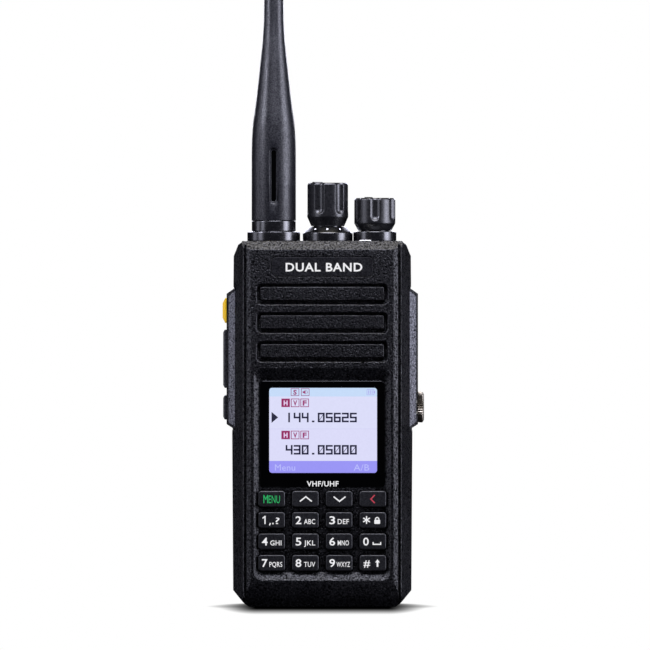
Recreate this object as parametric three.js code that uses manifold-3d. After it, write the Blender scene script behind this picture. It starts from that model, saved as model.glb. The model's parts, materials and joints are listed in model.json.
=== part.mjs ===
// A handheld two-way radio with a screw-on whip antenna, two top knobs, a colour display, a sixteen-key pad,
// three side buttons, a screwed accessory cover, a slide-off battery pack and a sprung belt clip.
// Millimetres, +Z up. The front faces -Y, and the origin is the middle of the bottom face.
import * as THREE from "three";
import { mergeVertices } from "three/addons/utils/BufferGeometryUtils.js";
import Module from "manifold-3d";

const wasm = await Module();
wasm.setup();

// ---------------------------------------------------------------- driving dimensions

// Planes of depth, from the front face to the back of the belt clip.
const FRONT_Y = -17.5;
const RECESS_FLOOR_Y = -15.9;
const CAVITY_FRONT_Y = -14;
const SEAM_Y = 4;
const CHASSIS_FRONT_Y = 3;
const CHASSIS_BACK_Y = 6.2;
const BLOCK_BACK_Y = 14;
const BATTERY_BACK_Y = 18.5;
const CLIP_INNER_Y = 23.3;
const CLIP_OUTER_Y = 25;

const BODY_TOP_Z = 127;
const CAVITY_BOTTOM_Z = 2;
const CAVITY_TOP_Z = 124.8;
const BATTERY_TOP_Z = 100.6;
const BLOCK_BOTTOM_Z = 101.2;

// Running gap around a moving piece, and the gap left between pieces that only rest on each other.
const RUNNING_GAP = 0.25;
const SEAT_GAP = 0.2;

// The two knobs and the antenna stand in one row on the top face.
const TOP_ROW_Y = -5;
const ANTENNA_X = -16.9;
const VOLUME_X = 1.9;
const CHANNEL_X = 18.3;
const ANTENNA_TIP_Z = 298;

// Speaker grille: three pockets, each with a bar standing in it.
const GRILLE_CENTRES_Z = [108.45, 98.55, 88.55];
const POCKET = { halfWidth: 22.5, height: 6.95, corner: 1.3, depth: 2 };
const BAR = { halfWidth: 21.4, height: 4.5, corner: 0.7, rise: 0.2 };

const MICROPHONE = { x: 14.1, z: 85, radius: 2.7 };

const BADGE = { halfWidth: 17.7, height: 7.1, corner: 1.7, centreZ: 118.05, depth: 0.6 };
const LENS = { halfWidth: 21.9, bottomZ: 41.3, topZ: 78.5, corner: 1.6 };
const LCD_WINDOW = { halfWidth: 19.6, bottomZ: 45.4, topZ: 77 };

const KEY_WIDTH = 9.3;
const KEY_HEIGHT = 5.65;
const KEY_COLUMNS_X = [-17.55, -5.85, 5.85, 17.55];
const KEY_ROWS_Z = [37.45, 30.1, 22.7, 15.25];
const KEY_NAMES = [
  ["key_menu", "key_up", "key_down", "key_back"],
  ["key_1", "key_2", "key_3", "key_star"],
  ["key_4", "key_5", "key_6", "key_0"],
  ["key_7", "key_8", "key_9", "key_hash"],
];

// The raised pads on both sides, and what stands on them.
const PAD = { bottomZ: 61.5, topZ: 110.7, seatX: 30.4, outerX: 33.3 };
const SIDE_CENTRE_Y = -3.4;
const SIDE_BUTTONS = [
  { name: "emergency_button", bottomZ: 98.5, topZ: 107.2, faceX: 34.7, crown: 0.9, slot: "yellow" },
  { name: "ptt_button", bottomZ: 75.9, topZ: 96.2, faceX: 34.5, crown: 0.3, slot: "rubber" },
  { name: "monitor_button", bottomZ: 64.9, topZ: 73.4, faceX: 34.5, crown: 0.3, slot: "rubber" },
];
const SIDE_BUTTON_HALF_DEPTH = 3.6;
const THUMB_SCREW = { z: 69.2, radius: 5.4, innerX: 33.05, outerX: 35.4, shankRadius: 1.5 };

// ---------------------------------------------------------------- materials

const FINISHES = {
  case_plastic: { color: 0x1a1a1c, roughness: 0.6, metalness: 0 },
  badge: { color: 0x17181b, roughness: 0.5, metalness: 0 },
  gloss_plastic: { color: 0x0b0b0d, roughness: 0.2, metalness: 0 },
  lens: { color: 0x050507, roughness: 0.08, metalness: 0 },
  display: { color: 0xd8dcf6, roughness: 0.4, metalness: 0 },
  key: { color: 0x232326, roughness: 0.55, metalness: 0 },
  rubber: { color: 0x1b1b1d, roughness: 0.75, metalness: 0 },
  clip_plastic: { color: 0x1b1b1d, roughness: 0.6, metalness: 0 },
  pad: { color: 0x3a3a40, roughness: 0.6, metalness: 0 },
  yellow: { color: 0xf2b705, roughness: 0.45, metalness: 0 },
  antenna: { color: 0x202125, roughness: 0.6, metalness: 0 },
  bronze: { color: 0x8a7a55, roughness: 0.35, metalness: 1 },
  brass: { color: 0xc6a24e, roughness: 0.3, metalness: 1 },
  steel: { color: 0xa8a9ab, roughness: 0.3, metalness: 1 },
  chassis: { color: 0x1d1e20, roughness: 0.5, metalness: 0.6 },
  board: { color: 0x0f4a2a, roughness: 0.5, metalness: 0 },
  speaker: { color: 0x2b2b2d, roughness: 0.6, metalness: 0 },
  component: { color: 0x3c3c40, roughness: 0.5, metalness: 0.2 },
  light_pipe: { color: 0xe6e6e2, roughness: 0.3, metalness: 0 },
  cell_wrap: { color: 0x2a4c8a, roughness: 0.4, metalness: 0 },
};

const radio = new THREE.Group();

// Adds a named piece at a place in a group, and returns it.
function place(name, geometry, finish, position = [0, 0, 0], parent = radio) {
  const mesh = new THREE.Mesh(geometry, new THREE.MeshStandardMaterial(FINISHES[finish]));
  mesh.name = name;
  mesh.position.set(...position);
  parent.add(mesh);
  return mesh;
}

// ---------------------------------------------------------------- shape helpers

function solidOf(geometry) {
  const bare = geometry.clone();
  bare.deleteAttribute("normal");
  bare.deleteAttribute("uv");
  const merged = mergeVertices(bare, 1e-4);
  const mesh = new wasm.Mesh({
    numProp: 3,
    vertProperties: merged.attributes.position.array,
    triVerts: new Uint32Array(merged.index.array),
  });
  return new wasm.Manifold(mesh);
}

function geometryOf(solid) {
  const mesh = solid.getMesh();
  const geometry = new THREE.BufferGeometry();
  geometry.setAttribute("position", new THREE.BufferAttribute(new Float32Array(mesh.vertProperties), 3));
  geometry.setIndex(new THREE.BufferAttribute(new Uint32Array(mesh.triVerts), 1));
  geometry.computeVertexNormals();
  return geometry;
}

const joined = (first, ...others) => others.reduce((all, one) => all.add(one), first);
const cut = (first, ...others) => others.reduce((all, one) => all.subtract(one), first);
const common = (first, ...others) => others.reduce((all, one) => all.intersect(one), first);

// An outline is a list of [u, v] points. It is pushed along one axis, from the first place to the second.
function pushed(outline, from, to) {
  const shape = new THREE.Shape(outline.map(([u, v]) => new THREE.Vector2(u, v)));
  return new THREE.ExtrudeGeometry(shape, { depth: to - from, bevelEnabled: false }).translate(0, 0, from);
}

const X_AXIS = new THREE.Vector3(1, 0, 0);
const Y_AXIS = new THREE.Vector3(0, 1, 0);
const Z_AXIS = new THREE.Vector3(0, 0, 1);

// [x, y] points along Z; [x, z] points along Y; [y, z] points along X.
const alongZ = (outline, from, to) => solidOf(pushed(outline, from, to));
const alongY = (outline, from, to) => solidOf(pushed(outline, -to, -from).rotateX(Math.PI / 2));
const alongX = (outline, from, to) =>
  solidOf(pushed(outline, from, to).applyMatrix4(new THREE.Matrix4().makeBasis(Y_AXIS, Z_AXIS, X_AXIS)));

function box([x0, x1], [y0, y1], [z0, z1]) {
  const geometry = new THREE.BoxGeometry(x1 - x0, y1 - y0, z1 - z0);
  return solidOf(geometry.translate((x0 + x1) / 2, (y0 + y1) / 2, (z0 + z1) / 2));
}

// A turned piece about Z from [radius, z] points that start and end on the axis.
function turned(profile, segments) {
  const points = profile.map(([radius, z]) => new THREE.Vector2(radius, z));
  return solidOf(new THREE.LatheGeometry(points, segments).rotateX(Math.PI / 2));
}

function rodZ(radius, x, y, from, to, segments = 20) {
  return turned([[0, from], [radius, from], [radius, to], [0, to]], segments).translate([x, y, 0]);
}

function rodX(radius, y, z, from, to, segments = 20) {
  return turned([[0, from], [radius, from], [radius, to], [0, to]], segments)
    .rotate([0, 90, 0])
    .translate([0, y, z]);
}

function rodY(radius, x, z, from, to, segments = 20) {
  return turned([[0, -to], [radius, -to], [radius, -from], [0, -from]], segments)
    .rotate([90, 0, 0])
    .translate([x, 0, z]);
}

// The points of a rectangle with rounded corners, counterclockwise.
function rounded(halfWidth, halfHeight, corner, centre = [0, 0], steps = 2) {
  const points = [];
  for (const [sx, sy, start] of [[1, 1, 0], [-1, 1, 1], [-1, -1, 2], [1, -1, 3]]) {
    for (let i = 0; i <= steps; i++) {
      const angle = ((start + i / steps) * Math.PI) / 2;
      const u = centre[0] + sx * (halfWidth - corner) + corner * Math.cos(angle);
      const v = centre[1] + sy * (halfHeight - corner) + corner * Math.sin(angle);
      points.push([u, v]);
    }
  }
  return points;
}

// The right half of an outline, given in order from bottom to top or front to back, with its mirror image.
const mirrored = (half) => [...half, ...half.map(([u, v]) => [-u, v]).reverse()];

// A closed skin over rings with equally many points, each { y, points: [[x, z]...] }, from front to back.
function lofted(rings) {
  const count = rings[0].points.length;
  const positions = rings.flatMap((ring) => ring.points.flatMap(([x, z]) => [x, ring.y, z]));
  const index = [];
  for (let r = 0; r + 1 < rings.length; r++) {
    for (let i = 0; i < count; i++) {
      const [a, b] = [r * count + i, r * count + ((i + 1) % count)];
      index.push(a, a + count, b, b, a + count, b + count);
    }
  }
  const last = (rings.length - 1) * count;
  for (let i = 1; i + 1 < count; i++) {
    index.push(0, i, i + 1);
    index.push(last, last + i + 1, last + i);
  }
  const geometry = new THREE.BufferGeometry();
  geometry.setAttribute("position", new THREE.Float32BufferAttribute(positions, 3));
  geometry.setIndex(index);
  return solidOf(geometry);
}

// ---------------------------------------------------------------- casing

// Outline of the body seen from the front, right half, from the bottom up.
const SILHOUETTE = mirrored([
  [25.4, 0], [27, 1.1], [31, 5.6], [31.35, 60],
  [30.8, 121.8], [29.2, 125.7], [28.2, 126.3], [27.7, BODY_TOP_Z],
]);

function frontCaseBlank() {
  const section = mirrored([
    [24.7, FRONT_Y], [26.35, FRONT_Y + 0.75], [26.35, FRONT_Y + 1.9], [27, FRONT_Y + 1.9],
    [27, FRONT_Y + 1.3], [27.35, FRONT_Y + 0.9], [27.6, FRONT_Y + 0.9], [31.5, -8.6], [31.5, SEAM_Y],
  ]);
  const side = [
    [-14.8, 0], [SEAM_Y, 0], [SEAM_Y, BODY_TOP_Z],
    [-14.6, BODY_TOP_Z], [FRONT_Y, 123.9], [FRONT_Y, 8.9], [FRONT_Y + 1.1, 3.5],
  ];
  return common(
    alongY(SILHOUETTE, FRONT_Y - 1, SEAM_Y),
    alongZ(section, -1, BODY_TOP_Z + 1),
    alongX(side, -40, 40),
  );
}

const CAVITY_OUTLINE = mirrored([[25.6, CAVITY_BOTTOM_Z], [29.3, 7], [29.3, 119.5], [27, CAVITY_TOP_Z]]);

function caseCavity() {
  const section = mirrored([[26.2, CAVITY_FRONT_Y], [29.3, -7.5], [29.3, SEAM_Y + 1]]);
  return common(
    alongY(CAVITY_OUTLINE, CAVITY_FRONT_Y - 1, SEAM_Y + 1),
    alongZ(section, 0, BODY_TOP_Z),
  );
}

// The sunken area around the display and the keys, with its sloping sides.
function keypadRecess() {
  const front = { halfWidth: 23.7, bottomZ: 9.2, topZ: 82.8, corner: 3 };
  const floor = { halfWidth: 22.2, bottomZ: 12, topZ: 78.8, corner: 1.8 };
  const ring = (size, y) => ({
    y,
    points: rounded(
      size.halfWidth, (size.topZ - size.bottomZ) / 2, size.corner, [0, (size.topZ + size.bottomZ) / 2], 3,
    ),
  });
  return lofted([ring(front, FRONT_Y - 1), ring(front, FRONT_Y), ring(floor, RECESS_FLOOR_Y)]);
}

function grillePocket(centreZ) {
  const pocket = alongY(
    rounded(POCKET.halfWidth, POCKET.height / 2, POCKET.corner, [0, centreZ]),
    FRONT_Y - 1, FRONT_Y + POCKET.depth,
  );
  const bar = alongY(
    rounded(BAR.halfWidth, BAR.height / 2, BAR.corner, [0, centreZ + BAR.rise]),
    FRONT_Y + 0.25, FRONT_Y + POCKET.depth + 1,
  );
  return cut(pocket, bar);
}

// The narrow opening that lets the sound out, in the channel under each bar.
function soundSlot(centreZ) {
  const z = centreZ - POCKET.height / 2 + 0.65;
  return box([-19, 19], [FRONT_Y, CAVITY_FRONT_Y + 1], [z - 0.4, z + 0.4]);
}

function keyHole(x, z) {
  const halfWidth = KEY_WIDTH / 2 + RUNNING_GAP;
  const halfHeight = KEY_HEIGHT / 2 + RUNNING_GAP;
  return alongY(rounded(halfWidth, halfHeight, 0.9, [x, z], 1), RECESS_FLOOR_Y - 1, CAVITY_FRONT_Y + 1);
}

// The seat of a side pad. side is -1 for the left of the radio and 1 for the right.
function padSeat(side) {
  const xs = [side * 34, side * (PAD.seatX - RUNNING_GAP)].sort((a, b) => a - b);
  return box(xs, [-11.6, 1.9], [PAD.bottomZ - RUNNING_GAP, PAD.topZ + RUNNING_GAP]);
}

function rectangle(halfWidth, bottomZ, topZ, corner) {
  return rounded(halfWidth, (topZ - bottomZ) / 2, corner, [0, (topZ + bottomZ) / 2]);
}

function addFrontCase() {
  const cuts = [caseCavity(), keypadRecess()];
  for (const z of GRILLE_CENTRES_Z) cuts.push(grillePocket(z), soundSlot(z));
  for (const x of KEY_COLUMNS_X) {
    for (const z of KEY_ROWS_Z) cuts.push(keyHole(x, z));
  }
  const badge = rounded(BADGE.halfWidth, BADGE.height / 2, BADGE.corner, [0, BADGE.centreZ]);
  cuts.push(alongY(badge, FRONT_Y - 1, FRONT_Y + BADGE.depth));
  cuts.push(alongY(rectangle(LENS.halfWidth, LENS.bottomZ, LENS.topZ, LENS.corner), FRONT_Y, -14.7));
  cuts.push(alongY(rectangle(LCD_WINDOW.halfWidth, LCD_WINDOW.bottomZ, LCD_WINDOW.topZ, 0.5), FRONT_Y, -13));
  cuts.push(padSeat(-1), padSeat(1));
  for (const button of SIDE_BUTTONS) {
    const z = (button.bottomZ + button.topZ) / 2;
    cuts.push(rodX(1.9, SIDE_CENTRE_Y, z, -34, -28, 12));
  }
  cuts.push(rodX(THUMB_SCREW.shankRadius + 0.4, SIDE_CENTRE_Y, THUMB_SCREW.z, 28, 34, 12));
  cuts.push(box([28, 34], [-7.2, 0.4], [82, 104]));
  cuts.push(rodZ(4.2, ANTENNA_X, TOP_ROW_Y, 124, 128, 16));
  cuts.push(rodZ(3.7, VOLUME_X, TOP_ROW_Y, 124, 128, 16));
  cuts.push(rodZ(3.7, CHANNEL_X, TOP_ROW_Y, 124, 128, 16));
  cuts.push(box([12.5, 17.2], [-14.1, -12.7], [124, 128]));
  cuts.push(rodY(0.55, MICROPHONE.x, MICROPHONE.z, FRONT_Y - 1, CAVITY_FRONT_Y + 1, 10));
  place("front_case", geometryOf(cut(frontCaseBlank(), ...cuts)), "case_plastic");
}

// A rectangular sealing ring in a groove around the chassis.
const GASKET = { width: 1.1, frontY: 1.9, backY: 2.9 };

function insetOutline(inset) {
  return CAVITY_OUTLINE.map(([x, z]) => [
    x - Math.sign(x) * inset,
    z < 60 ? z + inset : z - inset,
  ]);
}

function addGasket() {
  const ring = cut(
    alongY(insetOutline(SEAT_GAP), GASKET.frontY, GASKET.backY),
    alongY(insetOutline(SEAT_GAP + GASKET.width), GASKET.frontY - 1, GASKET.backY + 1),
  );
  place("case_gasket", geometryOf(ring), "rubber");
}

const CLIP_SCREWS_X = [-4.6, 4.6];
const CLIP_SCREW_Z = 121.4;

// Cast chassis: a plate behind the boards, a thick block above the battery and a rail for it on each side.
function addChassis() {
  const plug = alongY(insetOutline(0.6), CHASSIS_FRONT_Y, SEAM_Y + 0.3);
  const rib = cut(
    alongY(insetOutline(1.5), 1.4, CHASSIS_FRONT_Y),
    alongY(insetOutline(3.6), 0, CHASSIS_FRONT_Y + 1),
  );
  const flange = alongY(SILHOUETTE, SEAM_Y + 0.3, CHASSIS_BACK_Y);
  const blockSide = [
    [CHASSIS_BACK_Y - 1, BLOCK_BOTTOM_Z], [BLOCK_BACK_Y, BLOCK_BOTTOM_Z],
    [BLOCK_BACK_Y, 123.6], [10.8, BODY_TOP_Z], [CHASSIS_BACK_Y - 1, BODY_TOP_Z],
  ];
  const blockSection = mirrored([[31.5, SEAM_Y + 1], [31.5, 9], [27.5, BLOCK_BACK_Y]]);
  const block = common(
    alongX(blockSide, -40, 40),
    alongZ(blockSection, 90, 130),
    alongY(SILHOUETTE, 0, 20),
  );
  const rail = alongZ([
    [28.9, CHASSIS_BACK_Y - 0.5], [28.9, 8.5], [25.9, 8.5],
    [25.9, 7.8], [27.3, 7.8], [27.3, CHASSIS_BACK_Y - 0.5],
  ], 6, 100);
  const leftRail = rail.mirror([1, 0, 0]);
  const latchRecess = joined(
    box([-8.4, 8.4], [10.6, 20], [BLOCK_BOTTOM_Z - 1, 109.2]),
    box([-9.8, 9.8], [10.6, 12.7], [101.9, 109.2]),
  );
  const terminalSlot = box([-8.3, 8.3], [0, 10], [83.7, 92.3]);
  const screwHoles = CLIP_SCREWS_X.map((x) => rodY(1.3, x, CLIP_SCREW_Z, 8, 20, 12));
  const blank = joined(plug, rib, flange, block, rail, leftRail);
  const chassis = cut(blank, latchRecess, terminalSlot, ...screwHoles);
  place("chassis", geometryOf(chassis), "chassis");
}

function addBadge() {
  const outline = rounded(BADGE.halfWidth - SEAT_GAP, BADGE.height / 2 - SEAT_GAP, BADGE.corner - SEAT_GAP);
  const plate = alongY(outline, FRONT_Y + 0.1, FRONT_Y + BADGE.depth - 0.1);
  place("badge_plate", geometryOf(plate), "badge", [0, 0, BADGE.centreZ]);
}

// ---------------------------------------------------------------- display and keypad

function addDisplay() {
  const gap = SEAT_GAP;
  const lens = alongY(
    rectangle(LENS.halfWidth - gap, LENS.bottomZ + gap, LENS.topZ - gap, LENS.corner - gap),
    RECESS_FLOOR_Y - 0.15, -14.8,
  );
  place("display_lens", geometryOf(lens), "lens");
  const panel = box([-20.8, 20.8], [-13.8, -12.4], [43.4, 78.4]);
  const backlight = box([-20.2, 20.2], [-12.5, -11.6], [44.4, 77.8]);
  place("lcd_module", geometryOf(joined(panel, backlight)), "display");
}

// One key: a crowned cap that stands out of its hole, with a flange behind the casing that keeps it in.
function keyCap() {
  const ring = (y, inset, corner) => ({
    y,
    points: rounded(KEY_WIDTH / 2 - inset, KEY_HEIGHT / 2 - inset, corner),
  });
  return lofted([
    ring(-17.25, 0.45, 0.8), ring(-16.85, 0, 1), ring(CAVITY_FRONT_Y + 0.15, 0, 1),
    ring(CAVITY_FRONT_Y + 0.16, -0.6, 1), ring(-13.25, -0.6, 1),
  ]);
}

function addKeypad() {
  const cap = keyCap();
  KEY_NAMES.forEach((row, r) => {
    row.forEach((name, c) => {
      place(name, geometryOf(cap), "key", [KEY_COLUMNS_X[c], 0, KEY_ROWS_Z[r]]);
    });
  });
  const sheet = box([-23.6, 23.6], [-12.3, -11.8], [10.5, 42]);
  const domes = KEY_COLUMNS_X.flatMap((x) => KEY_ROWS_Z.map((z) => rodY(1.6, x, z, -12.5, -12.2, 6)));
  place("keypad_mat", geometryOf(joined(sheet, ...domes)), "rubber");
  const board = cut(
    box([-24.5, 24.5], [-11.4, -10.2], [6, 80]),
    rodY(1.2, -22, 9, -12, -9, 10),
    rodY(1.2, 22, 9, -12, -9, 10),
  );
  place("keypad_board", geometryOf(board), "board");
}

// ---------------------------------------------------------------- what is inside

function addSpeaker() {
  const profile = [[0, 0], [16.5, 0], [16.5, 1.6], [13, 3.4], [8, 3.8], [8, 5.6], [0, 5.6]];
  const basket = turned(profile, 24).rotate([-90, 0, 0]).translate([0, CAVITY_FRONT_Y + 0.2, 98.5]);
  const dish = turned([[0, -1], [14.5, -1], [14.5, 0.3], [6, 1.6], [0, 1.2]], 24);
  const cone = dish.rotate([-90, 0, 0]).translate([0, CAVITY_FRONT_Y + 0.2, 98.5]);
  place("speaker", geometryOf(cut(basket, cone)), "speaker");
  const capsule = rodY(MICROPHONE.radius, 0, 0, CAVITY_FRONT_Y + 0.2, -11.9, 16);
  place("microphone", geometryOf(capsule), "steel", [MICROPHONE.x, 0, MICROPHONE.z]);
}

function addBoards() {
  const blank = box([-23, 23], [-7.6, -6.4], [8, 115]);
  const corners = [[-20.5, 11], [20.5, 11], [-20.5, 112], [20.5, 112]];
  const holes = corners.map(([x, z]) => rodY(1.3, x, z, -9, -5, 10));
  place("main_board", geometryOf(cut(blank, ...holes)), "board");
  const can = cut(
    box([-20, 20], [-6.3, -2.6], [16, 76]),
    box([-19.6, 19.6], [-7, -3], [16.4, 45.8]),
    box([-19.6, 19.6], [-7, -3], [46.2, 75.6]),
  );
  place("rf_shield", geometryOf(can), "steel");
  const terminals = joined(
    box([-8, 8], [1.5, 7.9], [84, 92]),
    ...[-5, 0, 5].map((x) => box([x - 1, x + 1], [7.8, 8.5], [86, 90])),
  );
  place("battery_terminals", geometryOf(terminals), "component");
}

function addLightPipe() {
  const pipe = box([12.8, 16.9], [-13.9, -12.9], [122.5, BODY_TOP_Z + 0.35]);
  place("led_light_pipe", geometryOf(pipe), "light_pipe");
}

// ---------------------------------------------------------------- antenna

// Outside of the rubber sleeve as [radius, z], from its foot to the thin upper part.
const SLEEVE_PROFILE = [
  [7.7, 134.1], [7.68, 158], [7.42, 165.4], [7.14, 168.8], [6.6, 172.3], [5.35, 182.7],
  [4.58, 189.7], [3.87, 196.6], [3.46, 203.5], [3.34, 212], [3.1, 294], [2.6, 297], [1.4, ANTENNA_TIP_Z],
];

function addAntenna() {
  const seat = [ANTENNA_X, TOP_ROW_Y, 0];
  const collar = cut(
    turned([
      [0, 127.1], [9.2, 127.1], [9.2, 129.9], [8.8, 130.3], [6.2, 130.3], [6.2, 131.2], [0, 131.2],
    ], 30),
    rodZ(4.2, 0, 0, 120, 140, 16),
  );
  place("antenna_collar", geometryOf(collar), "gloss_plastic", seat);
  const jack = cut(
    joined(box([-4, 4], [-4, 4], [117.5, 124.6]), rodZ(3.1, 0, 0, 124, 133.2, 20)),
    rodZ(1.3, 0, 0, 126, 140, 12),
  );
  place("antenna_jack", geometryOf(jack), "brass", seat);
  const antenna = new THREE.Group();
  antenna.position.set(...seat);
  radio.add(antenna);
  const ring = cut(
    turned([[0, 130.4], [7.5, 130.4], [7.65, 130.6], [7.65, 134], [0, 134]], 28),
    rodZ(6.5, 0, 0, 130, 131.5, 20),
    rodZ(3.3, 0, 0, 130, 133.4, 14),
    rodZ(1.6, 0, 0, 133, 135, 10),
  );
  place("antenna_ring", geometryOf(ring), "gloss_plastic", [0, 0, 0], antenna);
  const outside = turned([[0, 134.1], ...SLEEVE_PROFILE, [0, ANTENNA_TIP_Z]], 24);
  const bore = turned([[0, 130], [4.6, 130], [4.6, 168], [2.3, 178], [2.3, 290], [0, 290]], 12);
  const slot = joined(
    alongY([[-1.45, 157.9], [-1.45, 141.3], [1.45, 141.3], [1.45, 157.9]], -9, -6.9),
    rodY(1.45, 0, 157.9, -9, -6.9, 12),
    rodY(1.45, 0, 141.3, -9, -6.9, 12),
  );
  place("antenna_sleeve", geometryOf(cut(outside, bore, slot)), "antenna", [0, 0, 0], antenna);
  const core = turned([
    [0, 129], [0.7, 129], [0.7, 134.4], [4.2, 134.4], [4.2, 167], [1.9, 177], [1.9, 288], [0, 288],
  ], 12);
  place("antenna_core", geometryOf(core), "brass", [0, 0, 0], antenna);
}

// ---------------------------------------------------------------- knobs

// Each knob's collar has a lip that stands up inside the knob's foot and keeps dust out.
const LIP_RADIUS = 4.9;

// A knob with a coned foot, which is hollow underneath to take its collar's lip. The flutes are rounded at
// the bottom and open at the top.
function fluted({ footZ, lipTopZ, fullZ, topZ, radius, footRadius, fluteBottomZ, turn }) {
  const edge = 0.7;
  const blank = turned([
    [0, footZ], [footRadius, footZ], [radius, fullZ],
    [radius, topZ - edge], [radius - edge, topZ], [0, topZ],
  ], 30);
  const cutterRadius = 2.2;
  const fluteCutter = turned([
    [0, fluteBottomZ], [1.3, fluteBottomZ + 0.5], [cutterRadius, fluteBottomZ + 2],
    [cutterRadius, topZ + 1], [0, topZ + 1],
  ], 10);
  const cutters = [];
  for (let i = 0; i < 6; i++) {
    const angle = ((turn + i * 60) * Math.PI) / 180;
    const [x, y] = [8.4 * Math.sin(angle), -8.4 * Math.cos(angle)];
    cutters.push(fluteCutter.translate([x, y, 0]));
  }
  const shaftBore = rodZ(3.1, 0, 0, footZ - 1, topZ - 4.4, 14);
  const lipGroove = rodZ(LIP_RADIUS + 0.3, 0, 0, footZ - 1, lipTopZ + 0.3, 20);
  return cut(blank, ...cutters, shaftBore, lipGroove);
}

function dShaft(fromZ, toZ) {
  const flat = box([-4, 4], [1.9, 4], [fromZ + 8, toZ + 1]);
  return cut(rodZ(2.95, 0, 0, fromZ, toZ, 20), flat);
}

function addControl({ prefix, body, bodyHalf, x, sizes, collarProfile }) {
  const seat = [x, TOP_ROW_Y, 0];
  const outside = turned([[0, 127.1], ...collarProfile, [0, sizes.lipTopZ]], 30);
  const collar = cut(outside, rodZ(3.6, 0, 0, 120, 140, 14));
  place(`${prefix}_collar`, geometryOf(collar), "gloss_plastic", seat);
  const housing = joined(
    box([-bodyHalf, bodyHalf], [-bodyHalf, bodyHalf], [117.4, 123.4]),
    rodZ(3.4, 0, 0, 123, 124.3, 16),
  );
  place(body, geometryOf(housing), "component", seat);
  place(`${prefix}_shaft`, geometryOf(dShaft(124.5, sizes.topZ - 4.7)), "steel", seat);
  const pointer = box([-0.55, 0.55], [-6.3, -2.6], [sizes.topZ - 0.5, sizes.topZ + 0.3]);
  const knob = joined(fluted(sizes), pointer.rotate([0, 0, sizes.pointerTurn]));
  place(`${prefix}_knob`, geometryOf(knob), "gloss_plastic", seat);
}

function addKnobs() {
  addControl({
    prefix: "volume",
    body: "volume_pot",
    bodyHalf: 5.4,
    x: VOLUME_X,
    sizes: {
      footZ: 132.2, lipTopZ: 133.1, fullZ: 135.3, topZ: 147.3, radius: 7.15, footRadius: 5.7,
      fluteBottomZ: 136, turn: -24, pointerTurn: -54,
    },
    collarProfile: [
      [8.7, 127.1], [8.7, 129.7], [8.4, 130.1], [6.3, 132], [LIP_RADIUS, 132], [LIP_RADIUS, 133.1],
    ],
  });
  addControl({
    prefix: "channel",
    body: "channel_encoder",
    bodyHalf: 5.8,
    x: CHANNEL_X,
    sizes: {
      footZ: 130.6, lipTopZ: 131.4, fullZ: 133.1, topZ: 142, radius: 7.2, footRadius: 5.7,
      fluteBottomZ: 133.6, turn: 0, pointerTurn: -30,
    },
    collarProfile: [
      [7.5, 127.1], [7.5, 130], [7.2, 130.4], [LIP_RADIUS, 130.4], [LIP_RADIUS, 131.4],
    ],
  });
}

// ---------------------------------------------------------------- side pads

// Blank of a side pad on the right of the radio: sloped towards the front, the top and the bottom.
function padBlank() {
  const section = [
    [PAD.seatX, -11.1], [PAD.outerX - 0.4, -8.7], [PAD.outerX, -8.1],
    [PAD.outerX, 1.1], [PAD.outerX - 0.5, 1.65], [PAD.seatX, 1.65],
  ];
  const outline = [
    [PAD.seatX, PAD.bottomZ], [PAD.outerX, 63.3], [PAD.outerX, 108.7], [PAD.seatX, PAD.topZ],
  ];
  return common(alongZ(section, 50, 120), alongY(outline, -20, 10));
}

function addSideKeys() {
  const depth = [SIDE_CENTRE_Y - SIDE_BUTTON_HALF_DEPTH, SIDE_CENTRE_Y + SIDE_BUTTON_HALF_DEPTH];
  let bezel = padBlank().mirror([1, 0, 0]);
  for (const button of SIDE_BUTTONS) {
    const grown = (gap) => [[depth[0] - gap, depth[1] + gap], [button.bottomZ - gap, button.topZ + gap]];
    const window = box([-40, -20], ...grown(RUNNING_GAP));
    const rebate = box([-31.7, -20], ...grown(RUNNING_GAP + 0.5));
    bezel = cut(bezel, window, rebate);
    place(button.name, geometryOf(sideButton(button)), button.slot, [0, SIDE_CENTRE_Y, 0]);
  }
  place("side_key_bezel", geometryOf(bezel), "pad");
}

// A push button with a bevelled face, a flange behind the bezel and a stem through the casing wall.
function sideButton({ bottomZ, topZ, faceX, crown }) {
  const half = SIDE_BUTTON_HALF_DEPTH;
  const bevel = Math.max(crown, 0.5);
  const side = [
    [-31.6, bottomZ], [-faceX + bevel, bottomZ], [-faceX, bottomZ + 2 * bevel],
    [-faceX, topZ - 2 * bevel], [-faceX + bevel, topZ], [-31.6, topZ],
  ];
  const section = [
    [-31.6, -half], [-faceX + bevel, -half], [-faceX, -half + bevel],
    [-faceX, half - bevel], [-faceX + bevel, half], [-31.6, half],
  ];
  const cap = common(alongY(side, -half, half), alongZ(section, bottomZ, topZ));
  const flange = box([-31.6, -31.1], [-half - 0.4, half + 0.4], [bottomZ - 0.4, topZ + 0.4]);
  const stem = rodX(1.5, 0, (bottomZ + topZ) / 2, -31.3, -28.8, 12);
  return joined(cap, flange, stem);
}

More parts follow.
